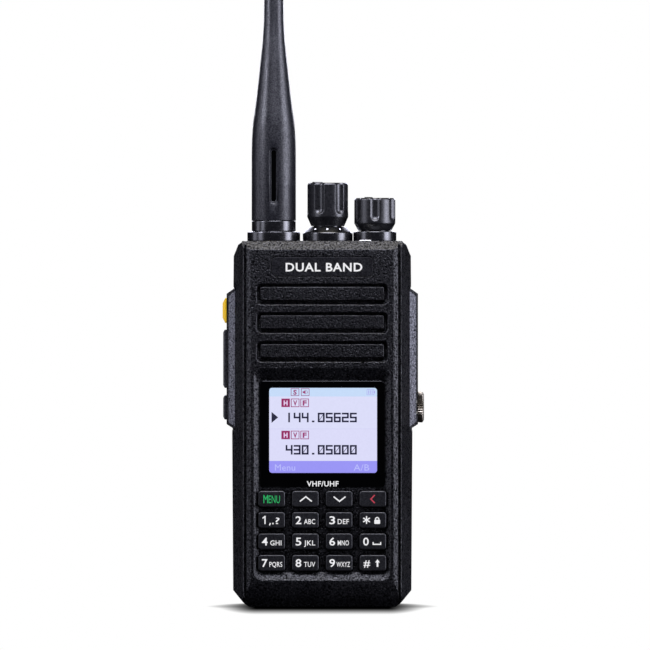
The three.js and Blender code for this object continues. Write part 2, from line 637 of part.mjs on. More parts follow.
function addAccessoryPort() {
  const counterbore = rodX(
    THUMB_SCREW.radius + 0.4, SIDE_CENTRE_Y, THUMB_SCREW.z, THUMB_SCREW.innerX - SEAT_GAP, 40, 28,
  );
  const screwHole = rodX(THUMB_SCREW.shankRadius + 0.3, SIDE_CENTRE_Y, THUMB_SCREW.z, 20, 40, 14);
  const plug = box([27.4, PAD.seatX + 0.5], [-6.8, 0], [82.4, 103.6]);
  const cover = cut(joined(padBlank(), plug), counterbore, screwHole);
  place("accessory_cover", geometryOf(cover), "pad");
  const socket = cut(
    box([23.4, 27.1], [-7.2, 0.4], [81, 105]),
    rodX(1.9, SIDE_CENTRE_Y, 98.5, 24.6, 30, 14),
    rodX(1.4, SIDE_CENTRE_Y, 87.5, 24.6, 30, 14),
  );
  place("accessory_jack", geometryOf(socket), "component");
  const knurled = [];
  const teeth = 24;
  for (let i = 0; i < 2 * teeth; i++) {
    const angle = (i * Math.PI) / teeth;
    const radius = i % 2 ? THUMB_SCREW.radius : THUMB_SCREW.radius - 0.3;
    knurled.push([radius * Math.cos(angle), radius * Math.sin(angle)]);
  }
  const length = THUMB_SCREW.outerX - THUMB_SCREW.innerX;
  const head = common(
    alongZ(knurled, 0, length),
    turned([[0, 0], [5.5, 0], [5.5, length - 0.7], [4.7, length], [0, length]], 24),
  );
  const screw = joined(head, rodZ(THUMB_SCREW.shankRadius, 0, 0, -5.4, 0.5, 14)).rotate([0, 90, 0]);
  place("thumb_screw", geometryOf(screw), "bronze", [THUMB_SCREW.innerX, SIDE_CENTRE_Y, THUMB_SCREW.z]);
}

// ---------------------------------------------------------------- battery

function addBattery() {
  const section = mirrored([
    [27.05, 6.5], [27.05, 7.6], [25.6, 7.6], [25.6, 8.75],
    [29.4, 8.75], [30.6, 9.6], [30.6, 13], [26.5, BATTERY_BACK_Y],
  ]);
  const side = [
    [6, 0], [16, 0], [BATTERY_BACK_Y, 3.5],
    [BATTERY_BACK_Y, 97.6], [16.5, BATTERY_TOP_Z], [6, BATTERY_TOP_Z],
  ];
  const outline = mirrored([[26.6, 0], [30.6, 4.6], [30.6, BATTERY_TOP_Z]]);
  const blank = common(alongZ(section, -1, 110), alongX(side, -40, 40), alongY(outline, 0, 30));
  const shell = cut(
    blank,
    box([-26, 26], [9.4, 17], [4, 97]),
    box([-9.5, 9.5], [6, 8.9], [83.4, 110]),
    box([-6.5, 6.5], [8, 10], [85, 91]),
  );
  place("battery_case", geometryOf(shell), "case_plastic");
  const cells = joined(
    box([-25.6, -0.3], [9.7, 16.7], [5, 94]),
    box([0.3, 25.6], [9.7, 16.7], [5, 94]),
    box([-25, 25], [10.5, 16], [93, 96]),
  );
  place("battery_cells", geometryOf(cells), "cell_wrap");
  const grip = [0, 1, 2].map((i) => box([-6.8, 6.8], [14.6, 15.2], [102.9 + 1.3 * i, 103.5 + 1.3 * i]));
  const tongue = box([-9.4, 9.4], [10.9, 12.3], [102.2, 106.7]);
  const bolt = box([-6, 6], [10.9, 13.2], [BATTERY_TOP_Z + 0.3, 102.4]);
  const latch = joined(box([-8, 8], [10.9, 14.7], [102.2, 106.7]), tongue, bolt, ...grip);
  place("battery_latch", geometryOf(latch), "gloss_plastic");
}

// ---------------------------------------------------------------- belt clip

const PIVOT = { y: 19.6, z: 116 };

function addBeltClip() {
  const plate = box([-9.5, 9.5], [BLOCK_BACK_Y + 0.2, 16.3], [110, 124]);
  const earProfile = [[15, 112.6], [19, 112.6], [21.8, 114], [21.8, 118], [19, 119.4], [15, 119.4]];
  const ear = alongX(earProfile, 7.3, 9.3);
  const pinHole = rodX(1.15, PIVOT.y, PIVOT.z, -12, 12, 14);
  const screwHoles = CLIP_SCREWS_X.map((x) => rodY(1.4, x, CLIP_SCREW_Z, 10, 20, 12));
  const bracket = cut(joined(plate, ear, ear.mirror([1, 0, 0])), pinHole, ...screwHoles);
  place("clip_bracket", geometryOf(bracket), "chassis");
  place("clip_pin", geometryOf(rodX(1, PIVOT.y, PIVOT.z, -9.3, 9.3, 14)), "steel");
  CLIP_SCREWS_X.forEach((x, i) => {
    const screw = joined(
      rodY(1.1, x, CLIP_SCREW_Z, 9, 16.8, 12),
      rodY(2, x, CLIP_SCREW_Z, 16.5, 17.7, 18),
    );
    const socket = rodY(0.8, x, CLIP_SCREW_Z, 16.9, 19, 6);
    place(i ? "clip_screw_right" : "clip_screw_left", geometryOf(cut(screw, socket)), "steel");
  });
  const paddleProfile = [
    [CLIP_INNER_Y, 125], [CLIP_INNER_Y, 58], [22.4, 53], [18.9, 49.2], [18.9, 47.6],
    [20.4, 47], [24, 51.4], [CLIP_OUTER_Y, 58], [CLIP_OUTER_Y, 125],
  ];
  const paddleOutline = mirrored([[5, 46], [8.5, 52], [8.5, 121], [6, 126]]);
  const paddle = common(alongX(paddleProfile, -20, 20), alongY(paddleOutline, 10, 30));
  const lugProfile = [
    [CLIP_INNER_Y + 0.5, 112.5], [20.4, 113.7], [17.9, 114.4], [17.2, 116],
    [17.9, 117.6], [20.4, 118.3], [CLIP_INNER_Y + 0.5, 119.5],
  ];
  const lug = alongX(lugProfile, 4.6, 6.9);
  const clip = cut(joined(paddle, lug, lug.mirror([1, 0, 0])), pinHole);
  place("belt_clip", geometryOf(clip), "clip_plastic");
  addClipSpring();
}

// A torsion spring round the clip's pin. One leg rests on the bracket and the other on the clip.
function addClipSpring() {
  const [coilRadius, wireRadius, turns, halfLength] = [1.85, 0.4, 3.5, 3.6];
  const points = [];
  points.push([-halfLength, BLOCK_BACK_Y + 2.9, PIVOT.z - 4.6]);
  points.push([-halfLength, PIVOT.y - coilRadius, PIVOT.z - 1.4]);
  for (let i = 0; i <= 28; i++) {
    const angle = Math.PI + (i / 28) * turns * 2 * Math.PI;
    const x = -halfLength + (2 * halfLength * i) / 28;
    points.push([x, PIVOT.y + coilRadius * Math.cos(angle), PIVOT.z - coilRadius * Math.sin(angle)]);
  }
  points.push([halfLength, PIVOT.y + coilRadius, PIVOT.z - 1.4]);
  points.push([halfLength, CLIP_INNER_Y - 0.6, PIVOT.z - 5.2]);
  const path = new THREE.CatmullRomCurve3(points.map((point) => new THREE.Vector3(...point)));
  const wire = new THREE.Shape();
  wire.absarc(0, 0, wireRadius, 0, 2 * Math.PI);
  const geometry = new THREE.ExtrudeGeometry(wire, {
    steps: 36, curveSegments: 3, extrudePath: path, bevelEnabled: false,
  });
  place("clip_spring", geometryOf(solidOf(geometry)), "steel");
}

addFrontCase();
addGasket();
addChassis();
addBadge();
addDisplay();
addKeypad();
addSpeaker();
addBoards();
addLightPipe();
addAntenna();
addKnobs();
addSideKeys();
addAccessoryPort();
addBattery();
addBeltClip();

export default radio;
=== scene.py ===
"""Looks of the handheld radio around the CAD frame: finer outer pieces, legends, materials and light.

Pieces are measured in millimetres in the row frame (+Z up, front towards -Y) and turned into metres when
a mesh is made. Lights and the camera are placed in metres.
"""

import json
import math

import bmesh
import bpy
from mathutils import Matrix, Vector
from mathutils.bvhtree import BVHTree


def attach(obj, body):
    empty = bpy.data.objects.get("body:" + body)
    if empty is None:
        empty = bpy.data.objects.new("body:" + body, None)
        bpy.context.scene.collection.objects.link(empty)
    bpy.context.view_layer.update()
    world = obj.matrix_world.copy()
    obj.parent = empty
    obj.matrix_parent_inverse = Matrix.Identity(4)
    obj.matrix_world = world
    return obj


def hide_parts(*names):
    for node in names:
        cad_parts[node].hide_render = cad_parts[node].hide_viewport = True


MM = 0.001
FRONT_Y = -17.5
RECESS_FLOOR_Y = -15.9
CAVITY_FRONT_Y = -14
SEAM_Y = 4
BATTERY_BACK_Y = 18.5
BODY_TOP_Z = 127
TOP_ROW_Y = -5
ANTENNA_X, VOLUME_X, CHANNEL_X = -16.9, 1.9, 18.3
SIDE_CENTRE_Y = -3.4
SCREEN_BOTTOM_Z, SCREEN_TOP_Z = 46.5, 76.0
POCKET_CENTRES_Z = (108.45, 98.55, 88.55)
KEY_COLUMNS_X = (-17.55, -5.85, 5.85, 17.55)
KEY_ROWS_Z = (37.45, 30.1, 22.7, 15.25)
KEY_HALF_WIDTH, KEY_HALF_HEIGHT = 4.65, 2.825
KEY_GAP = 0.25

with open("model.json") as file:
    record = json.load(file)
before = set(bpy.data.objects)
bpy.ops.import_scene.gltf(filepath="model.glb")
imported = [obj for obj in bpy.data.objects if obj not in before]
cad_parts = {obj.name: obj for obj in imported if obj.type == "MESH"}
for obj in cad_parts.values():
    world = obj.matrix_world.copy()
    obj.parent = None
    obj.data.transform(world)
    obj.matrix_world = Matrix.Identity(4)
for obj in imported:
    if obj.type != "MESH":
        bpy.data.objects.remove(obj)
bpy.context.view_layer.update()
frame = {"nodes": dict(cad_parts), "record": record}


# ---------------------------------------------------------------- mesh helpers

TOUCHING = 1e-7  # metres
SAME_POINT = 2e-6  # metres
SAME_PLANE_ANGLE = 0.4  # degrees


def placed(name, data):
    """A new object in the scene with this mesh, text, light or camera."""
    obj = bpy.data.objects.new(name, data)
    bpy.context.scene.collection.objects.link(obj)
    return obj


def finished_mesh(obj):
    """The mesh of an object after its modifiers, or the faces of its text."""
    bpy.context.view_layer.update()
    return bpy.data.meshes.new_from_object(obj.evaluated_get(bpy.context.evaluated_depsgraph_get()))


def make(name, points, faces):
    """A mesh object from points in millimetres, with its faces turned outwards."""
    mesh = bpy.data.meshes.new(name)
    mesh.from_pydata([Vector(p) * MM for p in points], [], faces)
    bm = bmesh.new()
    bm.from_mesh(mesh)
    bmesh.ops.remove_doubles(bm, verts=bm.verts, dist=TOUCHING)
    bmesh.ops.recalc_face_normals(bm, faces=bm.faces)
    bm.to_mesh(mesh)
    bm.free()
    return placed(name, mesh)


def along(axis, u, v, w):
    """The point with outline coordinates u, v and depth w: x, y along Z; x, z along Y; y, z along X."""
    return {"X": (w, u, v), "Y": (u, w, v), "Z": (u, v, w)}[axis]


def loft(name, rings, closed=False):
    """A skin over rings of equally many points. The ends are filled, or joined to each other if closed."""
    n = len(rings[0])
    faces = [] if closed else [list(range(n)), [len(rings) * n - 1 - i for i in range(n)]]
    for r in range(len(rings) if closed else len(rings) - 1):
        low, high = r * n, (r + 1) % len(rings) * n
        for i in range(n):
            j = (i + 1) % n
            faces.append([low + i, low + j, high + j, high + i])
    return make(name, [p for ring in rings for p in ring], faces)


def prism(name, outline, axis, start, end):
    return loft(name, [[along(axis, u, v, w) for u, v in outline] for w in (start, end)])


def mirrored(half):
    """An outline that is the same on both sides, from its right half."""
    return list(half) + [(-u, v) for u, v in reversed(half)]


def rectangle(left, bottom, right, top):
    return [(left, bottom), (right, bottom), (right, top), (left, top)]


def rounded(half_width, half_height, corner, centre=(0, 0), steps=6):
    """The points of a rectangle with rounded corners."""
    points = []
    for sx, sy, quarter in ((1, 1, 0), (-1, 1, 1), (-1, -1, 2), (1, -1, 3)):
        for i in range(steps + 1):
            angle = (quarter + i / steps) * math.pi / 2
            points.append((
                centre[0] + sx * (half_width - corner) + corner * math.cos(angle),
                centre[1] + sy * (half_height - corner) + corner * math.sin(angle),
            ))
    return points


def lathe(name, profile, x=0.0, y=0.0, segments=96):
    """A turned piece about the upright line through x, y, from (radius, z) points.

    They start and end on the line, or else the last point is joined to the first, which leaves a bore.
    """
    rings = []
    for radius, z in profile:
        ring = []
        for i in range(segments):
            angle = 2 * math.pi * i / segments
            ring.append((x + radius * math.sin(angle), y - radius * math.cos(angle), z))
        rings.append(ring)
    return loft(name, rings, closed=profile[0][0] > 0)


def boolean(obj, operation, *others):
    """obj with each of the others joined, cut away or intersected. The others are used up."""
    for other in others:
        modifier = obj.modifiers.new("boolean", "BOOLEAN")
        modifier.operation = operation
        modifier.solver = "EXACT"
        modifier.object = other
        mesh = finished_mesh(obj)
        obj.modifiers.clear()
        obj.data = mesh
        bpy.data.objects.remove(other)
    return obj


def together(name, objects):
    """Separate meshes put into one object, for cutting in one go."""
    bm = bmesh.new()
    for o in objects:
        bm.from_mesh(o.data)
        bpy.data.objects.remove(o)
    mesh = bpy.data.meshes.new(name)
    bm.to_mesh(mesh)
    bm.free()
    return placed(name, mesh)


def round_edges(obj, width, segments=2, angle=35):
    """Rounds every edge where two faces meet at more than this angle.

    Where several edges meet at a shallow corner the new points can shoot past it, so they are drawn back.
    """
    bm = bmesh.new()
    bm.from_mesh(obj.data)
    bmesh.ops.remove_doubles(bm, verts=bm.verts, dist=SAME_POINT)
    bmesh.ops.dissolve_limit(bm, angle_limit=math.radians(SAME_PLANE_ANGLE), verts=bm.verts, edges=bm.edges)
    limit = math.radians(angle)
    edges = [e for e in bm.edges if len(e.link_faces) == 2 and e.calc_face_angle(0) > limit]
    sharp_shape = BVHTree.FromBMesh(bm)
    bmesh.ops.bevel(
        bm, geom=edges, offset=width * MM, offset_type="OFFSET", segments=segments,
        profile=0.5, affect="EDGES", clamp_overlap=False,
    )
    for vertex in bm.verts:
        nearest, _, _, distance = sharp_shape.find_nearest(vertex.co)
        if distance > 0.5 * width * MM:
            vertex.co = nearest
    bm.to_mesh(obj.data)
    bm.free()
    return obj


def weigh_normals(obj, keep_sharp):
    """Lets the large faces decide the shading, which keeps flat faces flat."""
    modifier = obj.modifiers.new("weighted_normals", "WEIGHTED_NORMAL")
    modifier.keep_sharp = keep_sharp
    modifier.weight = 80


def smooth(obj, sharp_angle=50, weighted=True):
    """Smooth shading, except across edges sharper than this angle."""
    for polygon in obj.data.polygons:
        polygon.use_smooth = True
    obj.data.set_sharp_from_angle(angle=math.radians(sharp_angle))
    if weighted:
        weigh_normals(obj, True)


def dress(obj, body, slot, replaces=(), material=None):
    """Gives a finished piece its material, the body it rides on and the CAD nodes it stands for."""
    obj.data.materials.clear()
    obj.data.materials.append(MATERIALS[material or slot])
    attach(obj, body)
    if replaces:
        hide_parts(*replaces)


# ---------------------------------------------------------------- materials

class Shader:
    """A material's node tree, with short ways to add the nodes used here."""

    def __init__(self, name, color, roughness, metallic=0.0):
        self.material = bpy.data.materials.new(name)
        self.material.use_nodes = True
        self.tree = self.material.node_tree
        self.principled = self.tree.nodes["Principled BSDF"]
        self.principled.inputs["Base Color"].default_value = (*color, 1)
        self.principled.inputs["Roughness"].default_value = roughness
        self.principled.inputs["Metallic"].default_value = metallic
        self.coordinates = self.tree.nodes.new("ShaderNodeTexCoord")

    def noise(self, scale, detail=2.0, roughness=0.5):
        node = self.tree.nodes.new("ShaderNodeTexNoise")
        node.inputs["Scale"].default_value = scale
        node.inputs["Detail"].default_value = detail
        node.inputs["Roughness"].default_value = roughness
        self.tree.links.new(self.coordinates.outputs["Object"], node.inputs["Vector"])
        return node.outputs["Fac"]

    def ranged(self, value, low, high, source=(0.3, 0.7)):
        node = self.tree.nodes.new("ShaderNodeMapRange")
        node.inputs["From Min"].default_value = source[0]
        node.inputs["From Max"].default_value = source[1]
        node.inputs["To Min"].default_value = low
        node.inputs["To Max"].default_value = high
        self.tree.links.new(value, node.inputs["Value"])
        return node.outputs["Result"]

    def mixed(self, factor, first, second):
        node = self.tree.nodes.new("ShaderNodeMix")
        node.data_type = "RGBA"
        self.tree.links.new(factor, node.inputs[0])
        color_in = [socket for socket in node.inputs if socket.type == "RGBA"]
        color_in[0].default_value = (*first, 1)
        color_in[1].default_value = (*second, 1)
        return [socket for socket in node.outputs if socket.type == "RGBA"][0]

    def bump(self, height, distance, strength=1.0):
        node = self.tree.nodes.new("ShaderNodeBump")
        node.inputs["Distance"].default_value = distance
        node.inputs["Strength"].default_value = strength
        self.tree.links.new(height, node.inputs["Height"])
        return node.outputs["Normal"]

    def into(self, socket_name, output):
        self.tree.links.new(output, self.principled.inputs[socket_name])


def moulded(name, color, roughness, grain_mm, depth_mm, variation=0.35, sparkle=0.0, shine=0.5):
    """Moulded plastic or rubber with a fine spark-eroded grain. Sparkle makes the grain's peaks shinier."""
    shader = Shader(name, color, roughness)
    fine = shader.noise(1 / (grain_mm * MM), detail=2.5, roughness=0.6)
    broad = shader.noise(scale=60, detail=3.0)
    darker = [c * (1 - variation) for c in color]
    lighter = [c * (1 + variation) for c in color]
    shader.into("Base Color", shader.mixed(shader.ranged(fine, 0, 1), darker, lighter))
    shader.into("Roughness", shader.ranged(broad, roughness - 0.05, roughness + 0.05))
    peaks = shader.ranged(fine, shine * (1 - sparkle), shine * (1 + sparkle), source=(0.35, 0.65))
    shader.into("Specular IOR Level", peaks)
    shader.into("Normal", shader.bump(fine, depth_mm * MM))
    return shader.material


def polished(name, color, roughness, metallic=0.0, shine=0.5):
    """Glossy plastic or bare metal, with faint unevenness in its shine and colour."""
    shader = Shader(name, color, roughness, metallic)
    broad = shader.noise(scale=90, detail=3.0)
    fine = shader.noise(scale=1500)
    darker = [c * 0.85 for c in color]
    lighter = [min(1, c * 1.15) for c in color]
    shader.into("Base Color", shader.mixed(shader.ranged(broad, 0, 1), darker, lighter))
    shader.into("Roughness", shader.ranged(fine, roughness * 0.8, roughness * 1.25))
    shader.into("Normal", shader.bump(broad, distance=0.00002, strength=0.3))
    shader.principled.inputs["Specular IOR Level"].default_value = shine
    return shader.material


def ink(name, color, glowing):
    """Slightly uneven marks, either printed in plain colour, or black by themselves and glowing in their
    colour. The screen's marks glow as its backlight shines through them; the glow of print on the keys, the
    badge and the lens is painted light, in place of white or coloured print under the lamps.
    """
    shader = Shader(name, (0.002, 0.002, 0.002) if glowing else color, 0.5)
    fine = shader.noise(scale=2500)
    tone = shader.mixed(shader.ranged(fine, 0, 1), [c * 0.93 for c in color], color)
    shader.into("Emission Color" if glowing else "Base Color", tone)
    shader.principled.inputs["Emission Strength"].default_value = 1.0 if glowing else 0.0
    return shader.material


def lit_screen():
    """The display's backlit field: pale with a thin line across, light blue on top, violet at the bottom."""
    shader = Shader("screen", (0.02, 0.02, 0.02), 0.25)
    parts = shader.tree.nodes.new("ShaderNodeSeparateXYZ")
    shader.tree.links.new(shader.coordinates.outputs["Object"], parts.inputs[0])
    height = shader.ranged(parts.outputs["Z"], 0, 1, source=(SCREEN_BOTTOM_Z * MM, SCREEN_TOP_Z * MM))
    ramp = shader.tree.nodes.new("ShaderNodeValToRGB")
    ramp.color_ramp.interpolation = "CONSTANT"
    # Where each band starts, as a share of the screen's height, and its colour.
    bands = [
        (0.0, (0.31, 0.29, 0.90)), (0.138, (0.70, 0.70, 0.93)), (0.512, (0.60, 0.60, 0.88)),
        (0.518, (0.70, 0.71, 0.93)), (0.895, (0.55, 0.70, 0.93)),
    ]
    while len(ramp.color_ramp.elements) < len(bands):
        ramp.color_ramp.elements.new(0.5)
    for element, (place, color) in zip(ramp.color_ramp.elements, bands):
        element.position = place
        element.color = (*color, 1)
    shader.tree.links.new(height, ramp.inputs["Fac"])
    shader.into("Emission Color", ramp.outputs["Color"])
    fine = shader.noise(scale=1400, detail=1.0)
    shader.into("Emission Strength", shader.ranged(fine, 0.985, 1.01))
    return shader.material


# Colour, roughness, size and depth of the grain in mm, then variation, sparkle and shine.
MOULDED = {
    "case_plastic": ((0.0024, 0.0024, 0.0031), 0.33, 0.6, 0.3, 0.95, 1.0, 0.41),
    "badge": ((0.004, 0.004, 0.0052), 0.38, 0.55, 0.08, 0.5, 0.5),
    "key": ((0.009, 0.0092, 0.0105), 0.4, 0.5, 0.04, 0.3, 0.4),
    "rubber": ((0.018, 0.018, 0.02), 0.42, 0.6, 0.12, 0.3, 0.5),
    "clip_plastic": ((0.004, 0.004, 0.0045), 0.42, 0.45, 0.3),
    "pad": ((0.003, 0.003, 0.0038), 0.4, 0.6, 0.2, 0.9, 1.0, 0.2),
    # The next entry is a painted highlight: a much lighter copy of the pad's black plastic, for the side
    # pads' slopes where they catch the side lights.
    "pad_strip": ((0.09, 0.091, 0.102), 0.36, 0.65, 0.42, 0.95, 1.0),
    "yellow": ((0.82, 0.50, 0.006), 0.5, 0.3, 0.02, 0.08),
    "antenna": ((0.0065, 0.0067, 0.0088), 0.36, 0.5, 0.06, 0.3, 0.5),
    "chassis": ((0.012, 0.012, 0.013), 0.4, 0.5, 0.04),
    "board": ((0.006, 0.075, 0.025), 0.4, 0.8, 0.02, 0.2),
    "speaker": ((0.02, 0.02, 0.022), 0.7, 0.6, 0.05),
    "component": ((0.04, 0.04, 0.045), 0.45, 0.5, 0.02, 0.2),
}
# Colour, roughness, then how metallic it is and its shine.
POLISHED = {
    "gloss_plastic": ((0.0035, 0.0035, 0.0042), 0.23, 0, 1.0),
    "knob": ((0.005, 0.005, 0.006), 0.32, 0, 0.7),
    # The next entry is painted shade: a darker, duller copy of the gloss plastic for the volume collar's
    # sloping face.
    "index_ring": ((0.0012, 0.0012, 0.0015), 0.35, 0, 0.12),
    "lens": ((0.0008, 0.0008, 0.001), 0.05),
    "display": ((0.6, 0.64, 0.85), 0.3),
    "bronze": ((0.26, 0.235, 0.19), 0.36, 1.0),
    "brass": ((0.6, 0.42, 0.13), 0.25, 1.0),
    "steel": ((0.5, 0.5, 0.52), 0.3, 1.0),
    "light_pipe": ((0.75, 0.75, 0.72), 0.25),
    "cell_wrap": ((0.02, 0.07, 0.28), 0.3),
}
# Colour, and whether it glows. The screen's colours glow with its backlight; white_ink, green_ink and red_ink
# are print on the keys, the badge and the lens, and their glow is painted light.
INKS = {
    "white_ink": ((0.86, 0.86, 0.88), True),
    "green_ink": ((0.022, 0.47, 0.13), True),
    "red_ink": ((0.50, 0.05, 0.08), True),
    "dot_ink": ((0.85, 0.85, 0.86), False),
    "screen_navy": ((0.012, 0.012, 0.04), True),
    "screen_crimson": ((0.29, 0.012, 0.10), True),
    "screen_pink": ((0.34, 0.05, 0.18), True),
    "screen_violet": ((0.42, 0.38, 0.85), True),
    "screen_pale": ((0.80, 0.62, 0.90), True),
    "screen_words": ((0.50, 0.52, 1.0), True),
}
MATERIALS = {"screen": lit_screen()}
for build, looks in ((moulded, MOULDED), (polished, POLISHED), (ink, INKS)):
    for name, look in looks.items():
        MATERIALS[name] = build(name, *look)

# ---------------------------------------------------------------- front casing

SILHOUETTE = mirrored([
    (25.4, 0), (27, 1.1), (31, 5.6), (31.35, 60),
    (30.8, 121.8), (29.2, 125.7), (28.2, 126.3), (27.7, BODY_TOP_Z),
])


def case_blank():
    """The solid front casing before anything is cut into it."""
    section = mirrored([
        (24.7, FRONT_Y), (26.35, FRONT_Y + 0.75), (26.35, FRONT_Y + 1.9), (27, FRONT_Y + 1.9),
        (27, FRONT_Y + 1.25), (27.45, FRONT_Y + 0.8), (31.5, -8.6), (31.5, SEAM_Y),
    ])
    side = [
        (-14.8, 0), (SEAM_Y, 0), (SEAM_Y, BODY_TOP_Z),
        (-14.6, BODY_TOP_Z), (FRONT_Y, 123.9), (FRONT_Y, 8.9), (FRONT_Y + 1.1, 3.5),
    ]
    blank = prism("front_case_shell", SILHOUETTE, "Y", FRONT_Y - 1, SEAM_Y)
    boolean(
        blank, "INTERSECT",
        prism("section", section, "Z", -1, BODY_TOP_Z + 1),
        prism("side", side, "X", -40, 40),
    )
    return round_edges(blank, 0.11, 2)


def ring_y(y, half_width, bottom, top, corner, steps=6):
    """A rounded rectangle standing at depth y."""
    outline = rounded(half_width, (top - bottom) / 2, corner, (0, (top + bottom) / 2), steps)
    return [(u, y, v) for u, v in outline]


def pocket(z):
    """The bevelled hollow round a grille bar at height z."""
    return loft("pocket", [
        ring_y(FRONT_Y - 1, 23.9, z - 4.75, z + 4.75, 2.7),
        ring_y(FRONT_Y, 22.9, z - 3.75, z + 3.75, 1.8),
        ring_y(FRONT_Y + 0.5, 22.55, z - 3.4, z + 3.4, 1.5),
        ring_y(FRONT_Y + 2, 22.4, z - 3.25, z + 3.25, 1.4),
    ])


def case_cavity():
    """The hollow inside the casing, open to the back."""
    outline = mirrored([(25.6, 2), (29.3, 7), (29.3, 119.5), (27, 124.8)])
    section = mirrored([(26.2, CAVITY_FRONT_Y), (29.3, -7.5), (29.3, SEAM_Y + 1)])
    cavity = prism("cavity", outline, "Y", CAVITY_FRONT_Y - 1, SEAM_Y + 1)
    return boolean(cavity, "INTERSECT", prism("cavity_section", section, "Z", 0, BODY_TOP_Z))


def keypad_recess():
    """The shallow hollow with sloping sides that holds the display and the keys."""
    return loft("recess", [
        ring_y(FRONT_Y - 1, 23.75, 9.15, 82.85, 3, 8),
        ring_y(FRONT_Y, 23.7, 9.2, 82.8, 3, 8),
        ring_y(RECESS_FLOOR_Y, 22.2, 12, 78.8, 1.8, 8),
    ])


def front_hollows():
    """The badge's shallow bed and the three pockets of the grille, as one cutter."""
    badge_bed = loft("badge_cut", [
        ring_y(y, 17.7, 114.5, 121.6, 1.7) for y in (FRONT_Y - 1, FRONT_Y + 0.6)
    ])
    return together("front_cuts", [badge_bed, *[pocket(z) for z in POCKET_CENTRES_Z]])


def key_holes():
    """A hole for each key with a gap all round it, as one cutter."""
    half_width, half_height = KEY_HALF_WIDTH + KEY_GAP, KEY_HALF_HEIGHT + KEY_GAP
    return together("key_holes", [
        prism("key_hole", rounded(half_width, half_height, 1.1, (x, z), 4),
              "Y", RECESS_FLOOR_Y - 1, CAVITY_FRONT_Y + 1)
        for x in KEY_COLUMNS_X for z in KEY_ROWS_Z
    ])


def side_seats():
    """The flat beds behind the two side pads, as one cutter."""
    return together("seats", [
        prism("seat", rectangle(-11.6, 61.2, 1.9, 111), "X", *span)
        for span in ((-36, -30.15), (30.15, 36))
    ])


def top_openings():
    """Round holes in the top for the antenna's foot and the two shafts, as one cutter."""
    return together("openings", [
        lathe("opening", [(0, 124), (radius, 124), (radius, 128), (0, 128)], x, TOP_ROW_Y, 32)
        for x, radius in ((ANTENNA_X, 4.2), (VOLUME_X, 3.7), (CHANNEL_X, 3.7))
    ])


def build_case():
    """The front casing with all that is cut into it."""
    case = case_blank()
    pipe_hole = prism("pipe_hole", rectangle(12.5, -14.1, 17.2, -12.7), "Z", 124, 128)
    plug_hole = prism("plug_hole", rectangle(-7.2, 82, 0.4, 104), "X", 28, 34)
    boolean(
        case, "DIFFERENCE", keypad_recess(), front_hollows(), key_holes(), case_cavity(),
        side_seats(), top_openings(), pipe_hole, plug_hole,
    )
    round_edges(case, 0.14, 2, 17)
    mic_outline = rounded(0.55, 0.55, 0.5, (14.1, 85.0), 4)
    boolean(case, "DIFFERENCE", prism("mic_hole", mic_outline, "Y", FRONT_Y - 1, CAVITY_FRONT_Y + 1))
    smooth(case)
    dress(case, "radio_body", "case_plastic", ["front_case"])


build_case()

for i, z in enumerate(POCKET_CENTRES_Z):
    bar = loft(f"grille_bar_{i + 1}", [
        ring_y(FRONT_Y + 0.15, 21.35, z - 2.05, z + 2.55, 0.6, 4),
        ring_y(FRONT_Y + 1.98, 21.5, z - 2.2, z + 2.7, 0.7, 4),
    ])
    smooth(round_edges(bar, 0.28, 3))
    dress(bar, "radio_body", "case_plastic")

badge_plate = loft("badge_inlay", [
    ring_y(y, 17.45, 114.75, 121.35, 1.5) for y in (FRONT_Y + 0.1, FRONT_Y + 0.5)
])
smooth(round_edges(badge_plate, 0.08))
dress(badge_plate, "radio_body", "badge", ["badge_plate"])

# ---------------------------------------------------------------- marks: lettering, strokes and icons

CAPITAL_HEIGHT = 0.73


def lettering(words, height, centre_x, base_z, width=None, weight=0.0):
    """Flat outlines of words as (points, faces) in x and z, with capitals of this height.

    CAPITAL_HEIGHT is the height of the font's capitals at size 1.
    """
    curve = bpy.data.curves.new("words", "FONT")
    curve.body = words
    curve.size = 1.0
    curve.offset = weight
    curve.space_character = 1.03 + 3 * weight
    curve.resolution_u = 3
    holder = placed("words", curve)
    mesh = finished_mesh(holder)
    bpy.data.objects.remove(holder)
    points = [(v.co.x, v.co.y) for v in mesh.vertices]
    faces = [list(p.vertices) for p in mesh.polygons]
    bpy.data.meshes.remove(mesh)
    low, high = min(p[0] for p in points), max(p[0] for p in points)
    scale = height / CAPITAL_HEIGHT
    stretch = width / (high - low) if width else scale
    middle = (low + high) / 2
    return [(centre_x + (x - middle) * stretch, base_z + z * scale) for x, z in points], faces


def stroke(points, thickness, closed=False):
    """A line of even thickness through x, z points. Each piece ends square, half a thickness past them."""
    made, faces = [], []
    pairs = list(zip(points, points[1:] + points[:1] if closed else points[1:]))
    for (x0, z0), (x1, z1) in pairs:
        length = math.hypot(x1 - x0, z1 - z0)
        dx, dz = (x1 - x0) / length * thickness / 2, (z1 - z0) / length * thickness / 2
        n = len(made)
        made += [
            (x0 - dx - dz, z0 - dz + dx), (x0 - dx + dz, z0 - dz - dx),
            (x1 + dx + dz, z1 + dz - dx), (x1 + dx - dz, z1 + dz + dx),
        ]
        faces.append([n, n + 1, n + 2, n + 3])
    return made, faces


def filled(outline):
    """A closed outline as one face."""
    return list(outline), [list(range(len(outline)))]


def marks(name, body, material, y, shapes, slot):
    """One flat piece just in front of a surface, facing the front, made of several shapes."""
    points, faces = [], []
    for shape_points, shape_faces in shapes:
        n = len(points)
        points += [(x, y, z) for x, z in shape_points]
        faces += [[n + i for i in face] for face in shape_faces]
    mesh = bpy.data.meshes.new(name)
    mesh.from_pydata([Vector(p) * MM for p in points], [], faces)
    mesh.update()
    for polygon in mesh.polygons:
        if polygon.normal.y > 0:
            polygon.flip()
    dress(placed(name, mesh), body, slot, material=material)


